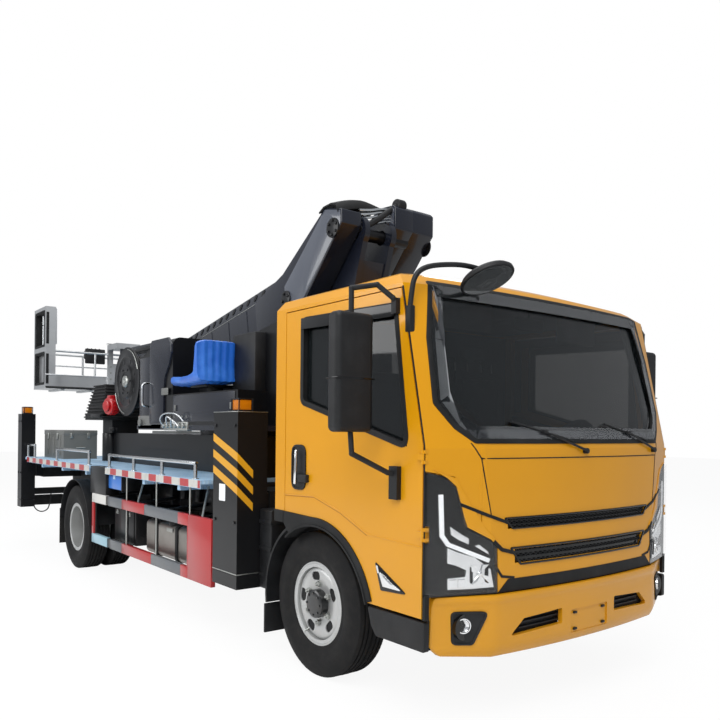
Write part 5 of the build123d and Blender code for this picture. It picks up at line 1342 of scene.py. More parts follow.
# %% Toolboxes on the deck
for side_name, side in SIDES.items():
    bm = bmesh.new()
    add_box(bm, (-6054, side * 496, 1328), (-5246, side * 884, 1384), 6)
    add_box(bm, (-6046, side * 504, 1052), (-5244, side * 876, 1066), 3)
    for reach in (-5900, -5650, -5400):
        add_box(bm, (reach - 26, side * 878, 1090), (reach + 26, side * 888, 1300), 4)
    finish(f"deck_toolbox_lid_{side_name}", bm, tool_grey, "chassis", None)
    bm = bmesh.new()
    for reach in (-5860, -5480):
        add_box(bm, (reach - 22, side * 882, 1276), (reach + 22, side * 896, 1350), 4)
    for across in (600, 790):
        add_box(bm, (-5250, side * across - 16, 1290), (-5236, side * across + 16, 1352), 4)
    add_rod(bm, (-5242, side * 640, 1180), (-5242, side * 740, 1180), 7, 12)
    finish(f"deck_toolbox_catches_{side_name}", bm, zinc, "chassis", None)

# %% [markdown]
# On the turret stands the black cabinet with its round-shouldered end guard, a bright pull handle, a
# blank plate, and below it the valve block with its little levers and fittings. The operator's blue
# seat is one moulding with a rolled edge, ribs down its back and a lip in front of the pan.

# %% Turret cabinet
cabinet_skin = on_flank(-1, 800)
bm = bmesh.new()
add_sheet(bm, soften([(-2866, 1445), (-2866, 2150), (-2830, 2193), (-2470, 2193), (-2405, 2130), (-2400, 2060),
                      (-2452, 1960), (-2540, 1850), (-2560, 1760), (-2560, 1445)], 30), cabinet_skin, -2, 18,
          rounding=7)
finish("cabinet_end_guard", bm, boom_paint, "turret", "boom_paint")
bm = bmesh.new()
add_sheet(bm, rect(-2380, 1470, -1290, 1690), cabinet_skin, -2, 5, rounding=2)
add_box(bm, (-3184, -784, 1470), (-2900, -779, 2060), 3)
for height in (1560, 1950):
    add_box(bm, (-2890, -812, height - 40), (-2874, -780, height + 40), 4)
finish("cabinet_doors", bm, boom_paint, "turret", "boom_paint")
bm = bmesh.new()
for reach in (-2330, -1340):
    add_box(bm, (reach - 16, -812, 1560), (reach + 16, -804, 1610), 3)
add_box(bm, (-2590, -822, 1700), (-2450, -816, 1760), 3)
finish("cabinet_blank_plates", bm, tool_grey, "turret", None)
grip = ((-784, 1610), (-850, 1612), (-860, 1640), (-860, 1790), (-850, 1818), (-784, 1820))
bent_tube("cabinet_pull_handle", [[(-2925, across, height) for across, height in grip]], 11, stainless, "turret",
          "chrome")

# %% Valve block and gearbox
bm = bmesh.new()
add_box(bm, (-2560, -812, 1396), (-2080, -640, 1470), 6)
for step in range(6):
    reach = -2520 + step * 80
    add_rod(bm, (reach, -812, 1436), (reach, -840, 1436), 20, 18, rounding=4)
    add_rod(bm, (reach, -760, 1466), (reach, -760, 1500), 14, 16, rounding=3)
    add_rod(bm, (reach, -790, 1466), (reach + 8, -806, 1520), 4, 10)
finish("valve_block", bm, zinc, "turret", None)
bm = bmesh.new()
add_box(bm, (-3180, -800, 1402), (-2640, -560, 1530), 10)
add_rod(bm, (-3100, -806, 1466), (-3100, -822, 1466), 34, 24, rounding=5)
finish("turret_gearbox_case", bm, tool_grey, "turret", None)
hoses = [[(-2500, -830, 1436), (-2510, -870, 1470), (-2440, -880, 1530), (-2300, -870, 1545), (-2160, -850, 1530),
          (-2110, -830, 1470)],
         [(-2420, -836, 1440), (-2400, -866, 1500), (-2330, -862, 1520), (-2280, -836, 1450)],
         [(-2340, -836, 1430), (-2290, -866, 1490), (-2230, -862, 1480), (-2200, -836, 1430)]]
bent_tube("valve_hoses", hoses, 7, stainless, "turret", "chrome")

# %% Operator's seat
profile = [(-2085, 1752), (-2096, 1768), (-2088, 1792), (-2050, 1800), (-1900, 1792), (-1780, 1796), (-1700, 1812),
           (-1668, 1850), (-1655, 1920), (-1640, 2010), (-1632, 2060), (-1612, 2086), (-1596, 2078), (-1600, 2040),
           (-1606, 1930), (-1600, 1830), (-1596, 1776), (-1640, 1758), (-1900, 1752)]
bm = bmesh.new()
columns = []
SEAT_LEFT, SEAT_RIGHT, SEAT_STEPS = -604, -948, 22
for step in range(SEAT_STEPS + 1):
    share = step / SEAT_STEPS
    across = SEAT_LEFT + (SEAT_RIGHT - SEAT_LEFT) * share
    rolled = 26 * (abs(2 * share - 1) ** 6)
    rib = 5 * math.cos(share * math.pi * 12)
    column = []
    for reach, height in profile:
        on_back = height > 1800 and reach > -1700
        spread = 1 + 0.05 * (height - 1770) / 300 if height > 1800 else 1
        middle = (SEAT_LEFT + SEAT_RIGHT) / 2
        column.append(bm.verts.new(at(reach - rolled * (0.6 if on_back else 0) + (rib if on_back else 0),
                                      middle + (across - middle) * spread,
                                      height + (0 if on_back else rolled * 0.8) + (0 if on_back else rib * 0.4)
                                      - (26 * abs(2 * share - 1) ** 5 if height > 2000 else 0))))
    columns.append(column)
for left, right in zip(columns, columns[1:]):
    for n in range(len(profile)):
        bm.faces.new((left[n], left[(n + 1) % len(profile)], right[(n + 1) % len(profile)], right[n]))
for column in (columns[0], columns[-1]):
    bm.faces.new(column)
finish("operator_seat_shell", bm, seat_blue, "turret", "seat_plastic", ["operator_seat"], crease=60)
bm = bmesh.new()
add_rod(bm, (-1825, -690, 1700), (-1825, -690, 1756), 62, 32, rounding=4)
add_box(bm, (-1960, -840, 1738), (-1690, -600, 1756), 4)
add_box(bm, (-1640, -640, 1690), (-1290, -540, 2140), 10)
add_box(bm, (-2400, -560, 1690), (-1590, -400, 1760), 8)
finish("seat_pedestal", bm, black_plastic, "turret", "dark_plastic")

# %% [markdown]
# The hose reel has two pressed discs with rolled rims and a ring of lightening holes, and hose wound in
# rows between them. The power pack behind it wears a rubber bellows and a red electric motor.

# %% Hose reel
reel = at(-3700, 0, 1875)
out = Vector((0, -1, 0))
bm = bmesh.new()
for offset, radius in ((706, 340), (466, 330)):
    add_lathe(bm, [(offset - 1, 120), (offset + 4, radius - 40), (offset + 3, radius - 8), (offset + 9, radius + 1),
                   (offset + 17, radius), (offset + 15, radius - 12), (offset + 16, radius - 60),
                   (offset + 24, 250), (offset + 15, 235), (offset + 15, 175), (offset + 30, 160), (offset + 30, 105),
                   (offset + 22, 96), (offset + 22, 0.01)], reel, out, steps=72)
for count, first, circle, low, high, radius, sides, rounding in ((6, 0, 0.13, 0.728, 0.742, 11, 6, 1.5),
                                                                 (8, 20, 0.205, 0.715, 0.723, 24, 20, 3)):
    for a in angles(count, first):
        hub = reel + Vector((math.cos(a), 0, math.sin(a))) * circle
        add_rod(bm, hub + out * low, hub + out * high, radius, sides, rounding=rounding)
finish("hose_reel_discs", bm, leg_paint, "boom", "black_paint")
bm = bmesh.new()
for row in range(9):
    for layer, radius in ((0, 232), (1, 252)):
        add_lathe(bm, [(492 + row * 24 + layer * 12 + 11 * math.sin(math.radians(a)),
                        radius + 11 * math.cos(math.radians(a))) for a in range(0, 361, 45)], reel, out, steps=48)
finish("hose_reel_winding", bm, hose_rubber, "boom", "dark_plastic")
bm = bmesh.new()
for start in (200, 20):
    points = [reel + Vector((math.cos(a) * 0.318, -0.726, math.sin(a) * 0.318))
              for a in (math.radians(start + 8 * n) for n in range(9))]
    for pair in zip(points, points[1:]):
        add_rod(bm, *pair, 4, 8)
add_lathe(bm, [(724, 0.01), (748, 20), (748, 52), (736, 60), (726, 60)], reel, out, steps=40)
finish("hose_reel_bright_parts", bm, zinc, "boom", None)

# %% Power pack
bm = bmesh.new()
for fold in range(11):
    height, half = 1505 + fold * 34, 292 - fold * 10
    for low, grow in ((height, 0), (height + 17, 12)):
        add_box(bm, (-4540 - half - grow, -772 - grow + fold * 7, low),
                (-4540 + half + grow, -298 - fold * 4 + grow, low + 17), 7)
finish("power_pack_bellows", bm, hose_rubber, "chassis", "dark_plastic")
bm = bmesh.new()
motor = at(-4130, -700, 1640)
way = Vector((0.25, -0.97, 0)).normalized()
add_rod(bm, motor - way * 0.03, motor + way * 0.07, 88, 40, rounding=12)
up = Vector((0, 0, 1))
for a in angles(14):
    side_way = way.cross(up) * math.cos(a) + up * math.sin(a)
    add_rod(bm, motor + side_way * 0.088, motor + side_way * 0.088 + way * 0.05, 8, 8)
add_rod(bm, motor + way * 0.07, motor + way * 0.095, 56, 32, rounding=8)
add_box(bm, motor + Vector((-0.045, -0.055, 0.075)), motor + Vector((0.045, 0.01, 0.112)), 8)
finish("power_pack_motor", bm, guard_red, "chassis", None)
bm = bmesh.new()
add_box(bm, (-4560, -800, 1520), (-4250, -700, 1560), 6)
add_rod(bm, (-4300, -640, 1380), (-4300, -640, 1420), 40, 24, rounding=5)
add_rod(bm, (-4600, -560, 1040), (-4600, -560, 1360), 90, 32, rounding=8)
finish("power_pack_bracket", bm, leg_paint, "chassis", "black_paint")

# %% [markdown]
# The boom's base is a welded box with chamfered top edges and two swept arms that carry it from the
# mast. A wide head plate stands outside the left arm, where the hoses pass. Each plate has its edges
# eased, the pins end in bolted caps, and oval lightening holes run along the upper strip.

# %% Boom base
BOOM_SLOPE = math.radians(10.3)
BOOM_WEB, ARM_FACE, HEAD_FACE = 333, 335, 540
PIVOT = (-737, 2840)


def boom_point(along, above):
    """The (reach, height) of a point along the boom from its pivot and above its axis."""
    return (PIVOT[0] - math.cos(BOOM_SLOPE) * along - math.sin(BOOM_SLOPE) * above,
            PIVOT[1] - math.sin(BOOM_SLOPE) * along + math.cos(BOOM_SLOPE) * above)


def on_boom(across):
    """A place function: along and above the boom's axis at one distance from the middle line."""
    def place(along, above, proud):
        reach, height = boom_point(along, above)
        return at(reach, across + math.copysign(proud, across), height)
    return place


def boom_plate(bm, outline, low, high, rounding):
    """A plate whose outline is (reach, height) points, between two distances from the middle line."""
    add_plate(bm, [at(reach, low, height) for reach, height in outline], Vector((0, (high - low) * MM, 0)),
              rounding, 3)


def boom_bar(bm, foot, tail, low, high, right, left, rounding):
    """A bar from foot to tail along the boom, from low to high over its axis."""
    corners = ((foot, low), (foot, high), (tail, high), (tail, low))
    boom_plate(bm, [boom_point(*corner) for corner in corners], right, left, rounding)


arm_top = [boom_point(1160, -185), boom_point(702, -91)]
arm_foot = [boom_point(437, -388), boom_point(700, -520), boom_point(1160, -520)]
arm = arm_top + [(-851, 3008), (-644, 2959), (-640, 2860)] + arm_foot
left_arm = arm_top + [(-900, 3060), (-858, 3096), (-668, 3084), (-640, 3056), (-640, 2905)] + arm_foot
head = [*left_arm[2:8], (-1411, 2400), (-1411, 2640)]
tube = bmesh.new()
ring = [(-BOOM_WEB, -520), (-BOOM_WEB, -185), (-293, -91), (293, -91), (BOOM_WEB, -185), (BOOM_WEB, -520)]
ends = []
for foot in (720, 3400):
    ends.append([])
    for across, above in ring:
        reach, height = boom_point(1100 if foot == 720 and above == -520 else foot, above)
        ends[-1].append(tube.verts.new(at(reach, across, height)))
for n in range(6):
    tube.faces.new((ends[0][n], ends[0][(n + 1) % 6], ends[1][(n + 1) % 6], ends[1][n]))
tube.faces.new((ends[0][0], ends[0][1], ends[0][4], ends[0][5]))
tube.faces.new(ends[0][1:5])
tube.faces.new(ends[1])
hollow = bmesh.new()
boom_bar(hollow, 1130, 3420, -490, -120, -283, 283, 0)
tube = carved(tube, hollow)
finish("boom_base_box", tube, boom_paint, "boom", "boom_paint", ["boom_base"], crease=30)
bm = bmesh.new()
boom_plate(bm, arm, -ARM_FACE, -155, 9)
boom_plate(bm, left_arm, 155, ARM_FACE, 9)
boom_plate(bm, head, ARM_FACE - 10, HEAD_FACE, 9)
boom_bar(bm, 3080, 3200, -515, -670, -160, 160, 5)
boom_bar(bm, 3290, 3340, -524, -80, -341, -300, 4)
boom_bar(bm, 3290, 3340, -524, -80, 300, 341, 4)
boom_bar(bm, 3290, 3340, -95, -78, -341, 341, 4)
finish("boom_base_arms", bm, boom_paint, "boom", "boom_paint", crease=30)

# %% Boom pins and lightening holes
bm = bmesh.new()
for (reach, height), radius, bolts, inner in ((PIVOT, 70, 6, 46), (boom_point(678, -302), 62, 4, 34)):
    add_rod(bm, (reach, -330, height), (reach, 330, height), inner, 32)
    for side in (1, -1):
        flush = side > 0 and bolts == 6
        edge = HEAD_FACE if flush else BOOM_WEB
        add_rod(bm, (reach, side * (edge - 4), height), (reach, side * (edge + (3 if flush else 14)), height),
                radius, 44, rounding=2)
        for a in angles(0 if flush else bolts, 25):
            out, up = reach + math.cos(a) * (radius - 19), height + math.sin(a) * (radius - 19)
            add_rod(bm, (out, side * (edge + 13), up), (out, side * (edge + 24), up), 11, 6, rounding=2)
finish("boom_pins", bm, leg_paint, "boom", "black_paint")
# the lightening holes are flat dark ovals on the chamfer: painted shade of the hollow boom inside them
bm = bmesh.new()
tilt = Vector((math.sin(BOOM_SLOPE) * -0.39, -0.92, math.cos(BOOM_SLOPE) * 0.39))
along = Vector((-math.cos(BOOM_SLOPE), 0, -math.sin(BOOM_SLOPE)))
for hole in range(14):
    reach, height = boom_point(790 + 127 * hole, -134)
    for side in (1, -1):
        way = Vector((tilt.x, -side * tilt.y, tilt.z)).normalized()
        upward = way.cross(along).normalized()
        rim = [at(reach, side * 312, height) + way * 0.002 + along * (math.cos(a) * 0.021)
               + upward * (math.sin(a) * 0.034) for a in angles(22)]
        add_plate(bm, rim, way * 0.002)
finish("boom_hole_painted_shade", bm, seal_rubber, "boom", "dark_plastic")
# a thin bright strip just under the top crease of each side: painted highlight of the light along the crease
bm = bmesh.new()
for side in (1, -1):
    add_sheet(bm, rect(950, -195, 2150, -191), on_boom(side * BOOM_WEB), -1, 1.2)
finish("boom_crease_painted_highlight", bm, zinc, "boom", None)

# %% Arm skins with a painted sheen, and weld strips
# slate skins on the two arm faces that look towards the camera: painted sheen of the light on the black arms
bm = bmesh.new()
side_face = [boom_point(690, -480), boom_point(470, -388), (-655, 2858), (-658, 2948), (-846, 2992),
             boom_point(690, -200)]
add_sheet(bm, soften(side_face, 12), on_flank(-1, ARM_FACE), -1, 2, rounding=0.5)
inner_face = [(-1230, 2500), (-1120, 2420), (-655, 2900), (-655, 3050), (-680, 3070), (-760, 3020)]
add_sheet(bm, soften(inner_face, 12), lambda reach, height, proud: at(reach, 155 - proud, height), -1, 2,
          rounding=0.5)
finish("boom_arm_painted_sheen_skins", bm, sheen_slate_paint, "boom", "boom_paint")
bm = bmesh.new()
for side in (1, -1):
    web = on_boom(side * BOOM_WEB)
    add_sheet(bm, rect(1180, -505, 3280, -470), web, -2, 6,
              rounding=2)
    for along in range(1300, 3250, 325):
        add_sheet(bm, rect(along, -470, along + 22, -205), web, -2, 3, rounding=1)
finish("boom_weld_strips", bm, boom_paint, "boom", "boom_paint")

# %% [markdown]
# At the arms' top a rubber apron bridges the gap, bright steel pipes cross from arm to arm, and a
# black conduit ends in a round cap. Below, hoses drop in loose curves to the turret.

# %% Hoses at the mast
bm = bmesh.new()
rows = []
for share in (n / 10 for n in range(11)):
    across = -345 + 440 * share
    height = 3020 + 70 * math.sin(min(1, share * 1.5) * math.pi / 2) - 75 * max(0, share - 0.45) ** 1.3
    rows.append([bm.verts.new(at(reach, across, height - fall)) for reach, fall in
                 ((-905, 34), (-850, 6), (-760, 0), (-700, 16), (-676, 70))])
for left, right in zip(rows, rows[1:]):
    for n in range(4):
        bm.faces.new((left[n], left[n + 1], right[n + 1], right[n]))
thicken(bm, bm.faces, (0, 0, -0.012))
finish("boom_rubber_apron", bm, seal_rubber, "boom", "dark_plastic", crease=60)
pipes = [[(-668, -160, 2985 - drop), (-668, -60, 3000 - drop * 0.9), (-690, 60, 3040 - drop * 0.8),
          (-700, 158, 3050 - drop * 0.7)] for drop in range(0, 150, 30)]
bent_tube("boom_cross_pipes", pipes, 9, stainless, "boom", "chrome")
bent_tube("boom_cross_conduit", [[(-672, -150, 2850), (-676, 0, 2935), (-690, 120, 3030), (-700, 240, 3098)]],
          24, black_plastic, "boom", "dark_plastic")
bm = bmesh.new()
add_rod(bm, (-700, 205, 3098), (-700, 282, 3098), 48, 36, rounding=10)
add_rod(bm, (-700, 196, 3098), (-700, 290, 3098), 22, 24, rounding=4)
add_box(bm, (-740, 215, 3000), (-672, 270, 3090), 6)
finish("boom_hose_sheave", bm, black_plastic, "boom", "dark_plastic")
loose = []
for n in range(4):
    out = 130 - 28 * n
    loose.append([(-1330, out, 2560), (-1300, out, 2440), (-1420 - 20 * n, out, 2300), (-1560, out - 10, 2240),
                  (-1640, out - 20, 2080), (-1650, out - 20, 1900), (-1650, out - 20, 1700)])
bent_tube("mast_hoses", loose, 13, hose_rubber, "turret", "dark_plastic")
bm = bmesh.new()
for across in (-148, 148):
    add_rod(bm, (-1360, across - 3, 2060), (-1360, across + 3, 2060), 60, 32, rounding=1)
    add_rod(bm, (-1360, across - 8, 2060), (-1360, across + 8, 2060), 16, 6, rounding=1)
finish("mast_caps", bm, leg_paint, "turret", "black_paint")

# %% [markdown]
# The sliding sections nest in each other and are solids already. The jib beyond them gets caps on its
# pin, dark strips along its sides and the bolted rotator at its end, and two hoses follow it.

# %% Jib
jib_reach, jib_height = boom_point(3595, -310)
bm = bmesh.new()
for side in (1, -1):
    for low, high, radius, rounding in ((64, 69, 40, 1), (108, 122, 34, 3)):
        add_rod(bm, (jib_reach, side * low, jib_height), (jib_reach, side * high, jib_height), radius, 32,
                rounding=rounding)
finish("jib_pin_caps", bm, zinc, "jib", None)
bm = bmesh.new()
add_box(bm, (-5560, -67, 2300), (-4400, -64, 2380), 1)
add_box(bm, (-5560, 64, 2300), (-4400, 67, 2380), 1)
add_rod(bm, (-5700, 0, 2406), (-5700, 0, 2412), 70, 40, rounding=1)
for a in angles(8):
    out, aside = -5700 + 58 * math.cos(a), 58 * math.sin(a)
    add_rod(bm, (out, aside, 2262), (out, aside, 2271), 7, 6)
add_rod(bm, (-5610, 0, 2258), (-5610, 0, 2200), 34, 28, rounding=5)
finish("jib_rotator_parts", bm, leg_paint, "jib", "black_paint")
hose = ((-4230, 50, 2000), (-4290, 60, 2160), (-4300, 76, 2330), (-4460, 78, 2350), (-5000, 74, 2330),
        (-5500, 76, 2345), (-5640, 60, 2330), (-5690, 60, 2290))
bent_tube("jib_hoses", [[(reach, side * across, height) for reach, across, height in hose] for side in (1, -1)], 9,
          hose_rubber, "jib", "dark_plastic")

# %% [markdown]
# The work basket is drawn aluminium. Its guard has frames with thin dark seals round the windows and
# two slim bars inside, the tray is ribbed sheet with a toe board, and a control box sits by the bracket
# at waist height with a few plain knobs under a cover.

# %% Basket
basket_rear, basket_front = -6490, -5960
GUARD_OUTER, GUARD_MIDDLE, GUARD_INNER = 904, 845, 786


def guard_back(reach, height, proud):
    return at(reach, proud - GUARD_INNER, height)


def guard_front(across, height, proud):
    return at(basket_front + proud, across, height)


windows = (rect(-6430, 1955, -6020, 2330),
           rect(-6430, 2420, -6020, 2840))
bm = bmesh.new()
for outline in windows:
    edge = soften(outline, 8)
    for skin in (on_flank(-1, GUARD_OUTER), guard_back):
        add_sheet(bm, inset(edge, -16), skin, -1, 4, hole=inset(edge, 3),
                  rounding=1)
    add_sheet(bm, inset(outline, 1), on_flank(-1, GUARD_MIDDLE), -56, 56,
              hole=inset(outline, 16))
for height_low, height_high in ((1950, 2320), (2440, 2830)):
    add_sheet(bm, soften(rect(-898, height_low, -866, height_high), 5),
              guard_front, -1, 4, rounding=1)
finish("basket_window_seals", bm, seal_rubber, "basket", "dark_plastic")
bm = bmesh.new()
for outline in windows:
    foot, top = outline[0][1], outline[2][1]
    for reach in (-6300, -6150):
        add_rod(bm, (reach, -GUARD_MIDDLE, foot - 4), (reach, -GUARD_MIDDLE, top + 4), 9, 16)
for height in (2700, 2200):
    add_rod(bm, (-6432, -GUARD_MIDDLE, height), (-6018, -GUARD_MIDDLE, height), 9, 16)
add_rod(bm, (basket_rear + 16, -790, 2215), (basket_rear + 16, 888, 2215), 9, 16)
add_rod(bm, (basket_rear + 16, 888, 2215), (basket_front - 16, 888, 2215), 9, 16)
finish("basket_inner_bars", bm, stainless, "basket", "aluminium")

# %% Basket floor, ribs and controls
bm = bmesh.new()
add_box(bm, (-6420, -862, 1962), (-6030, -846, 2326), 3)
add_box(bm, (-6440, -800, 2440), (-5975, -762, 2892), 32, 5)
for across in range(-860, 900, 86):
    add_box(bm, (basket_rear - 5, across - 9, 1910), (basket_rear + 2, across + 9, 2056), 3)
for height in (1899, 2062):
    add_box(bm, (basket_front - 3, -905, height - 5), (basket_front + 8, 905, height + 9), 3)
    add_box(bm, (basket_rear - 8, -905, height - 5), (basket_rear + 3, 905, height + 9), 3)
for across in (-700, -350, 350, 700):
    add_box(bm, (basket_rear + 10, across - 30, 1872), (basket_front - 10, across + 30, 1898), 4)
for reach in range(-6440, -5990, 40):
    add_box(bm, (reach - 5, -780, 1924), (reach + 5, 890, 1928), 1)
finish("basket_ribs", bm, aluminium, "basket", "aluminium")
bm = bmesh.new()
add_box(bm, (basket_front - 3, -903, 1894), (basket_front + 9, 903, 1922), 3)
add_box(bm, (-6010, -420, 2230), (-5975, -170, 2420), 12)
add_box(bm, (-6090, -410, 2290), (-6000, -180, 2400), 16)
for n in range(4):
    add_rod(bm, (-6055, -370 + n * 50, 2396), (-6055, -370 + n * 50, 2432), 9, 16, rounding=4)
finish("basket_control_box", bm, black_plastic, "basket", "dark_plastic")
bm = bmesh.new()
add_rod(bm, (-6058, -215, 2396), (-6058, -215, 2420), 17, 24, rounding=5)
finish("basket_stop_button", bm, guard_red, "basket", None)
bm = bmesh.new()
for across in (-120, 120):
    add_box(bm, (-5966, across - 44, 2490), (-5900, across + 44, 2496), 2)
    for height in (2040, 2120, 2200, 2300):
        add_rod(bm, (-5920, across, height), (-5906, across, height), 12, 6, rounding=2)
finish("basket_bracket_bolts", bm, zinc, "basket", None)

# %% [markdown]
# ## Inside the cab
# The seats are foam under grey cloth. A pad starts as a rounded block a little too small. Cloth
# simulation then blows it up against its own skin, which draws the sides in between the corners, and the
# movement is capped so that it stays in its place. Sewn channels are pressed in afterwards.

# %% Seats
PAD_GAP, PAD_CAP = 26, 24


def seat_pad(name, low, high, slide, channels):
    """One upholstered pad between two corners, leaning back by slide as it rises."""
    low, high = spot(low), spot(high)
    shrink = Vector((PAD_GAP, PAD_GAP, PAD_GAP)) * MM
    foot, top = low + shrink, high - shrink
    bm = bmesh.new()
    add_box(bm, foot, top, 34, 4)
    for vert in bm.verts:
        vert.co.x -= slide * MM * (vert.co.z - foot.z) / (top.z - foot.z)
    pad = bench_object(name, mesh_of(bm, name))
    remesh = pad.modifiers.new("remesh", "REMESH")
    remesh.mode = "VOXEL"
    remesh.voxel_size = 0.012
    mesh = shaped_mesh(pad)
    pad.modifiers.clear()
    pad.data = mesh
    cloth = pad.modifiers.new("cloth", "CLOTH")
    cloth.settings.use_pressure = True
    cloth.settings.uniform_pressure_force = 4.0
    cloth.settings.quality = 5
    cloth.settings.effector_weights.gravity = 0
    rest = [v.co.copy() for v in mesh.vertices]
    scene = bpy.context.scene
    for frame_number in range(1, 21):
        scene.frame_set(frame_number)
    blown = shaped_mesh(pad)
    pad.modifiers.clear()
    for vert, start in zip(blown.vertices, rest):
        step = vert.co - start
        if step.length > PAD_CAP * MM:
            vert.co = start + step.normalized() * PAD_CAP * MM
    pad.data = blown
    scene.frame_set(1)
    bm = bmesh.new()
    bm.from_mesh(pad.data)
    bmesh.ops.smooth_vert(bm, verts=bm.verts, factor=0.5, use_axis_x=True, use_axis_y=True, use_axis_z=True)
    bmesh.ops.subdivide_edges(bm, edges=bm.edges[:], cuts=1, use_grid_fill=True, smooth=0.6)
    middle = (low + high) / 2
    for vert in bm.verts:
        for axis, level in channels:
            place = level * MM
            away = abs((vert.co.y if axis == "Y" else vert.co.z if axis == "Z" else vert.co.x - front_axle_x) - place)
            if away < 0.018:
                vert.co += (middle - vert.co).normalized() * 0.009 * math.cos(away / 0.018 * math.pi / 2)
    finished = bpy.data.meshes.new(name)
    bm.to_mesh(finished)
    bm.free()
    finished.shade_smooth()
    finished.materials.append(seat_cloth)
    pad.data = finished
    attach(pad, "chassis")
    print(name, "faces", len(finished.polygons))


for pad_name, near, far in (("driver", 250, 720), ("passenger", -730, 120)):
    seat_pad(f"{pad_name}_cushion", (-90, near, 1090), (430, far, 1212), 0,
             [("X", 120), ("X", 260), ("Y", near + 95), ("Y", far - 95)])
    seat_pad(f"{pad_name}_back", (-72, near, 1205), (28, far, 1830), 80,
             [("Z", 1400), ("Z", 1560), ("Y", near + 95), ("Y", far - 95)])

# %% Seat plinths and headrests
bm = bmesh.new()
for near, far in ((250, 720), (-730, 120)):
    add_box(bm, (-66, near + 14, 904), (394, far - 14, 1086), 16)
    for rail in (near + 70, far - 70):
        add_box(bm, (-80, rail - 18, 902), (420, rail + 18, 930), 5)
    add_rod(bm, (-30, far - 4, 1110), (60, far - 4, 1130), 18, 20, rounding=5)
finish("seat_plinths", bm, dash_plastic, "chassis", "dark_plastic", ["cab_seats"])
bm = bmesh.new()
for across in (300, 420, 560, 670, -640, -500, -160, 40):
    add_rod(bm, (-150, across, 1834), (-156, across, 1900), 6, 12)
finish("headrest_posts", bm, zinc, "chassis", None)
for number, across in enumerate((485, -480, -110)):
    seat_pad(f"headrest_{number}", (-215, across - 130, 1880), (-100, across + 130, 2040), 6, [])

# %% [markdown]
# The steering wheel gets a padded hub and spokes, and the fascia gets its binnacle, round vents and
# a gear lever. All of it is seen only through the glass, so it is kept simple but complete.

# %% Fascia
wheel_axis = Vector((math.sin(0.9), 0, math.cos(0.9))) * -1
wheel_centre = at(640, 485, 1310)
bm = bmesh.new()
add_lathe(bm, [(-16, 0.01), (-16, 60), (4, 72), (20, 60), (26, 0.01)], wheel_centre, wheel_axis, steps=40)
side_way = Vector((0, 1, 0))
up_way = wheel_axis.cross(side_way).normalized()
for a in angles(3, 90):
    way = side_way * math.cos(a) + up_way * math.sin(a)
    add_rod(bm, wheel_centre + way * 0.05, wheel_centre + way * 0.196, 15, 14, end_radius=11)
add_box(bm, (742, 330, 1318), (930, 640, 1396), 26, 4)
add_box(bm, (700, 330, 1340), (760, 640, 1392), 14, 3)
for across in (-800, -420, -150, 250, 720, 880):
    add_rod(bm, (738, across, 1240), (728, across, 1240), 42, 32, rounding=4)
add_box(bm, (732, -330, 1070), (744, 120, 1200), 8)
add_rod(bm, (520, 60, 904), (500, 60, 1150), 12, 16, end_radius=8)
add_rod(bm, (500, 60, 1140), (496, 60, 1200), 26, 24, rounding=9)
for across in (330, 430, 560):
    add_rod(bm, (820, across, 1090), (770, across, 960), 9, 12)
    add_box(bm, (750, across - 36, 920), (780, across + 36, 968), 7)
finish("fascia_details", bm, dash_plastic, "chassis", "dark_plastic")

# %% [markdown]
# ## Underneath and behind
# A propeller shaft runs from gearbox to axle between the frame rails, with a silencer, an air tank and
# cross tubes beside it. At the back are the lamp clusters' coloured fields, a blank plate and mudflaps.
# Behind each front wheel hangs a mudguard.

# %% Driveline, exhaust and air tanks
bm = bmesh.new()
add_rod(bm, (-950, 0, 560), (-2400, 0, 500), 42, 28)
add_rod(bm, (-2400, 0, 500), (-3900, 0, 430), 42, 28)
for reach, height in ((-960, 560), (-2400, 500), (-3880, 432)):
    add_rod(bm, (reach + 50, 0, height), (reach - 50, 0, height), 62, 20, rounding=8)
add_box(bm, (-2440, -380, 520), (-2370, 380, 600), 6)
finish("propeller_shaft", bm, cast_iron, "chassis", None)
bm = bmesh.new()
add_rod(bm, (-1500, 250, 520), (-2250, 250, 520), 105, 40, rounding=18)
for reach in (-1620, -2120):
    add_box(bm, (reach - 16, 138, 408), (reach + 16, 362, 632), 50, 5)
finish("silencer", bm, zinc, "chassis", None)
bent_tube("exhaust_pipe", [[(-500, 250, 560), (-800, 260, 540), (-1200, 250, 520), (-1510, 250, 520)],
                           [(-2240, 250, 520), (-2600, 250, 520), (-3200, 270, 540), (-3500, 320, 620),
                            (-4100, 330, 640), (-4700, 330, 620), (-5000, 300, 560)]], 34, zinc, "chassis", None)
bm = bmesh.new()
add_rod(bm, (-1660, -700, 560), (-1180, -700, 560), 118, 40, rounding=40)
for reach in (-1560, -1280):
    add_box(bm, (reach - 14, -822, 438), (reach + 14, -430, 684), 60, 5)
for across in (-250, 250):
    add_rod(bm, (-5200, across, 660), (-5600, across, 660), 70, 32, rounding=20)
finish("air_tanks", bm, leg_paint, "chassis", "black_paint")

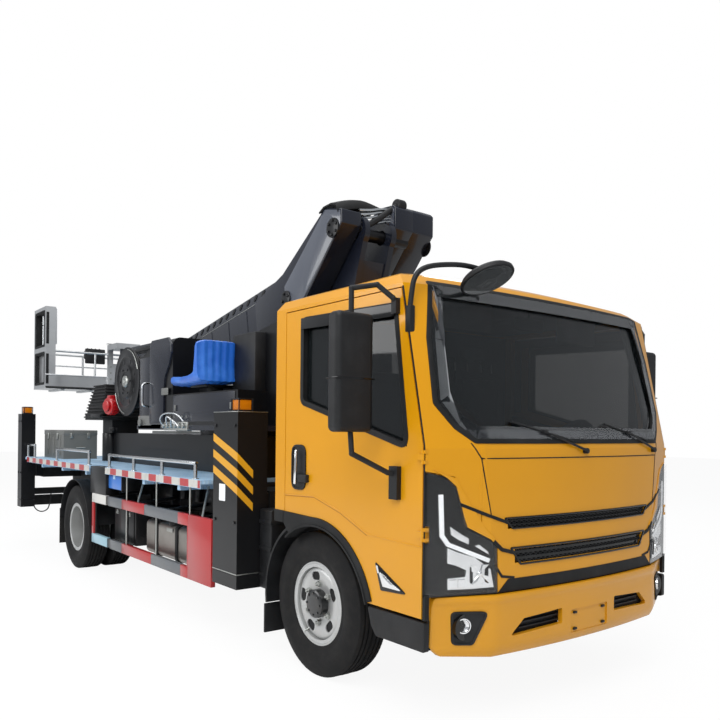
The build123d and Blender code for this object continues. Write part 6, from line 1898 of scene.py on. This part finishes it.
# %% Rear lamps, beam and mudguards
rear = (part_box("tail_lamps")[0][0] - front_axle_x) / MM
for name, fields, lamp_glass, slot in (
        ("fields", ((564, 640), (766, 896)), red_lens, "red_lamp"),
        ("indicators", ((646, 700),), amber_lens, None), ("reversing", ((706, 760),), clear_lens, "lamp")):
    bm = bmesh.new()
    for near, far in fields:
        for side in (1, -1):
            add_box(bm, (rear - 6, side * near, 446), (rear + 4, side * far, 524), 4)
    finish(f"tail_lamp_{name}", bm, lamp_glass, "chassis", slot)
bm = bmesh.new()
add_box(bm, (rear - 4, -230, 440), (rear + 4, 230, 560), 3)
finish("rear_blank_plate", bm, label_white, "chassis", None)
bm = bmesh.new()
for side in (1, -1):
    add_box(bm, (-4612, side * 596, 190), (-4600, side * 1094, 560), 3)
    add_box(bm, (rear + 4, side * 540, 420), (rear + 16, side * 920, 550), 6)
    for reach in (-3250, -1400):
        add_rod(bm, (reach, side * 440, 720), (reach, side * 900, 990), 18, 14)
add_box(bm, (rear + 2, -920, 560), (rear + 60, 920, 640), 8)
add_box(bm, (rear + 2, -240, 430), (rear + 12, 240, 570), 4)
finish("rear_beam_and_flaps", bm, frame_paint, "chassis", "frame_paint")
bm = bmesh.new()
add_box(bm, (-640, -962, 398), (-500, -640, 905), 12, 3)
for height in (470, 640, 810):
    add_box(bm, (-644, -966, height), (-496, -640, height + 26), 3)
finish("air_cleaner_box", bm, black_plastic, "chassis", "dark_plastic")
for side_name, side in SIDES.items():
    bm = bmesh.new()
    arc = [math.radians(angle) for angle in range(112, 196, 7)]
    rows = [[bm.verts.new(at(462 * math.cos(a), side * across, WHEEL_RADIUS + 462 * math.sin(a))) for a in arc]
            for across in (760, 1012)]
    for n in range(len(arc) - 1):
        bm.faces.new((rows[0][n], rows[0][n + 1], rows[1][n + 1], rows[1][n]))
    centre = at(0, 0, WHEEL_RADIUS)
    for vert in thicken(bm, bm.faces, (0, 0, 0)):
        vert.co += Vector((vert.co.x - centre.x, 0, vert.co.z - centre.z)).normalized() * 0.016
    add_box(bm, (-492, side * 760, 150), (-476, side * 1012, 330), 3)
    finish(f"front_mudguard_{side_name}", bm, black_plastic, "chassis", "dark_plastic")
# %% [markdown]
# The floor is a pale sheet. It glows white towards the camera, so that only a faint shade of the truck
# is left on it.

# %% Floor
floor_mesh = bpy.data.meshes.new("studio_floor")
bm = bmesh.new()
bmesh.ops.create_grid(bm, x_segments=1, y_segments=1, size=40)
bm.to_mesh(floor_mesh)
bm.free()
studio_floor = bpy.data.objects.new("studio_floor", floor_mesh)
bpy.context.collection.objects.link(studio_floor)
floor_paint, tree, shader, place = new_material("pale_studio_floor")
feed(tree, shader, {"Base Color": "#F4F4F3", "Roughness": 0.8})
share = add_node(tree, "Math", {0: camera_or_glass(tree), 1: 0.9}, operation="MULTIPLY")
glow = add_node(tree, "Emission", {"Color": "#FFFFFF", "Strength": 1.02})
both = add_node(tree, "MixShader", {0: share, 1: shader, 2: glow})
feed(tree, next(node for node in tree.nodes if node.type == "OUTPUT_MATERIAL"), {"Surface": both})
floor_mesh.materials.append(floor_paint)
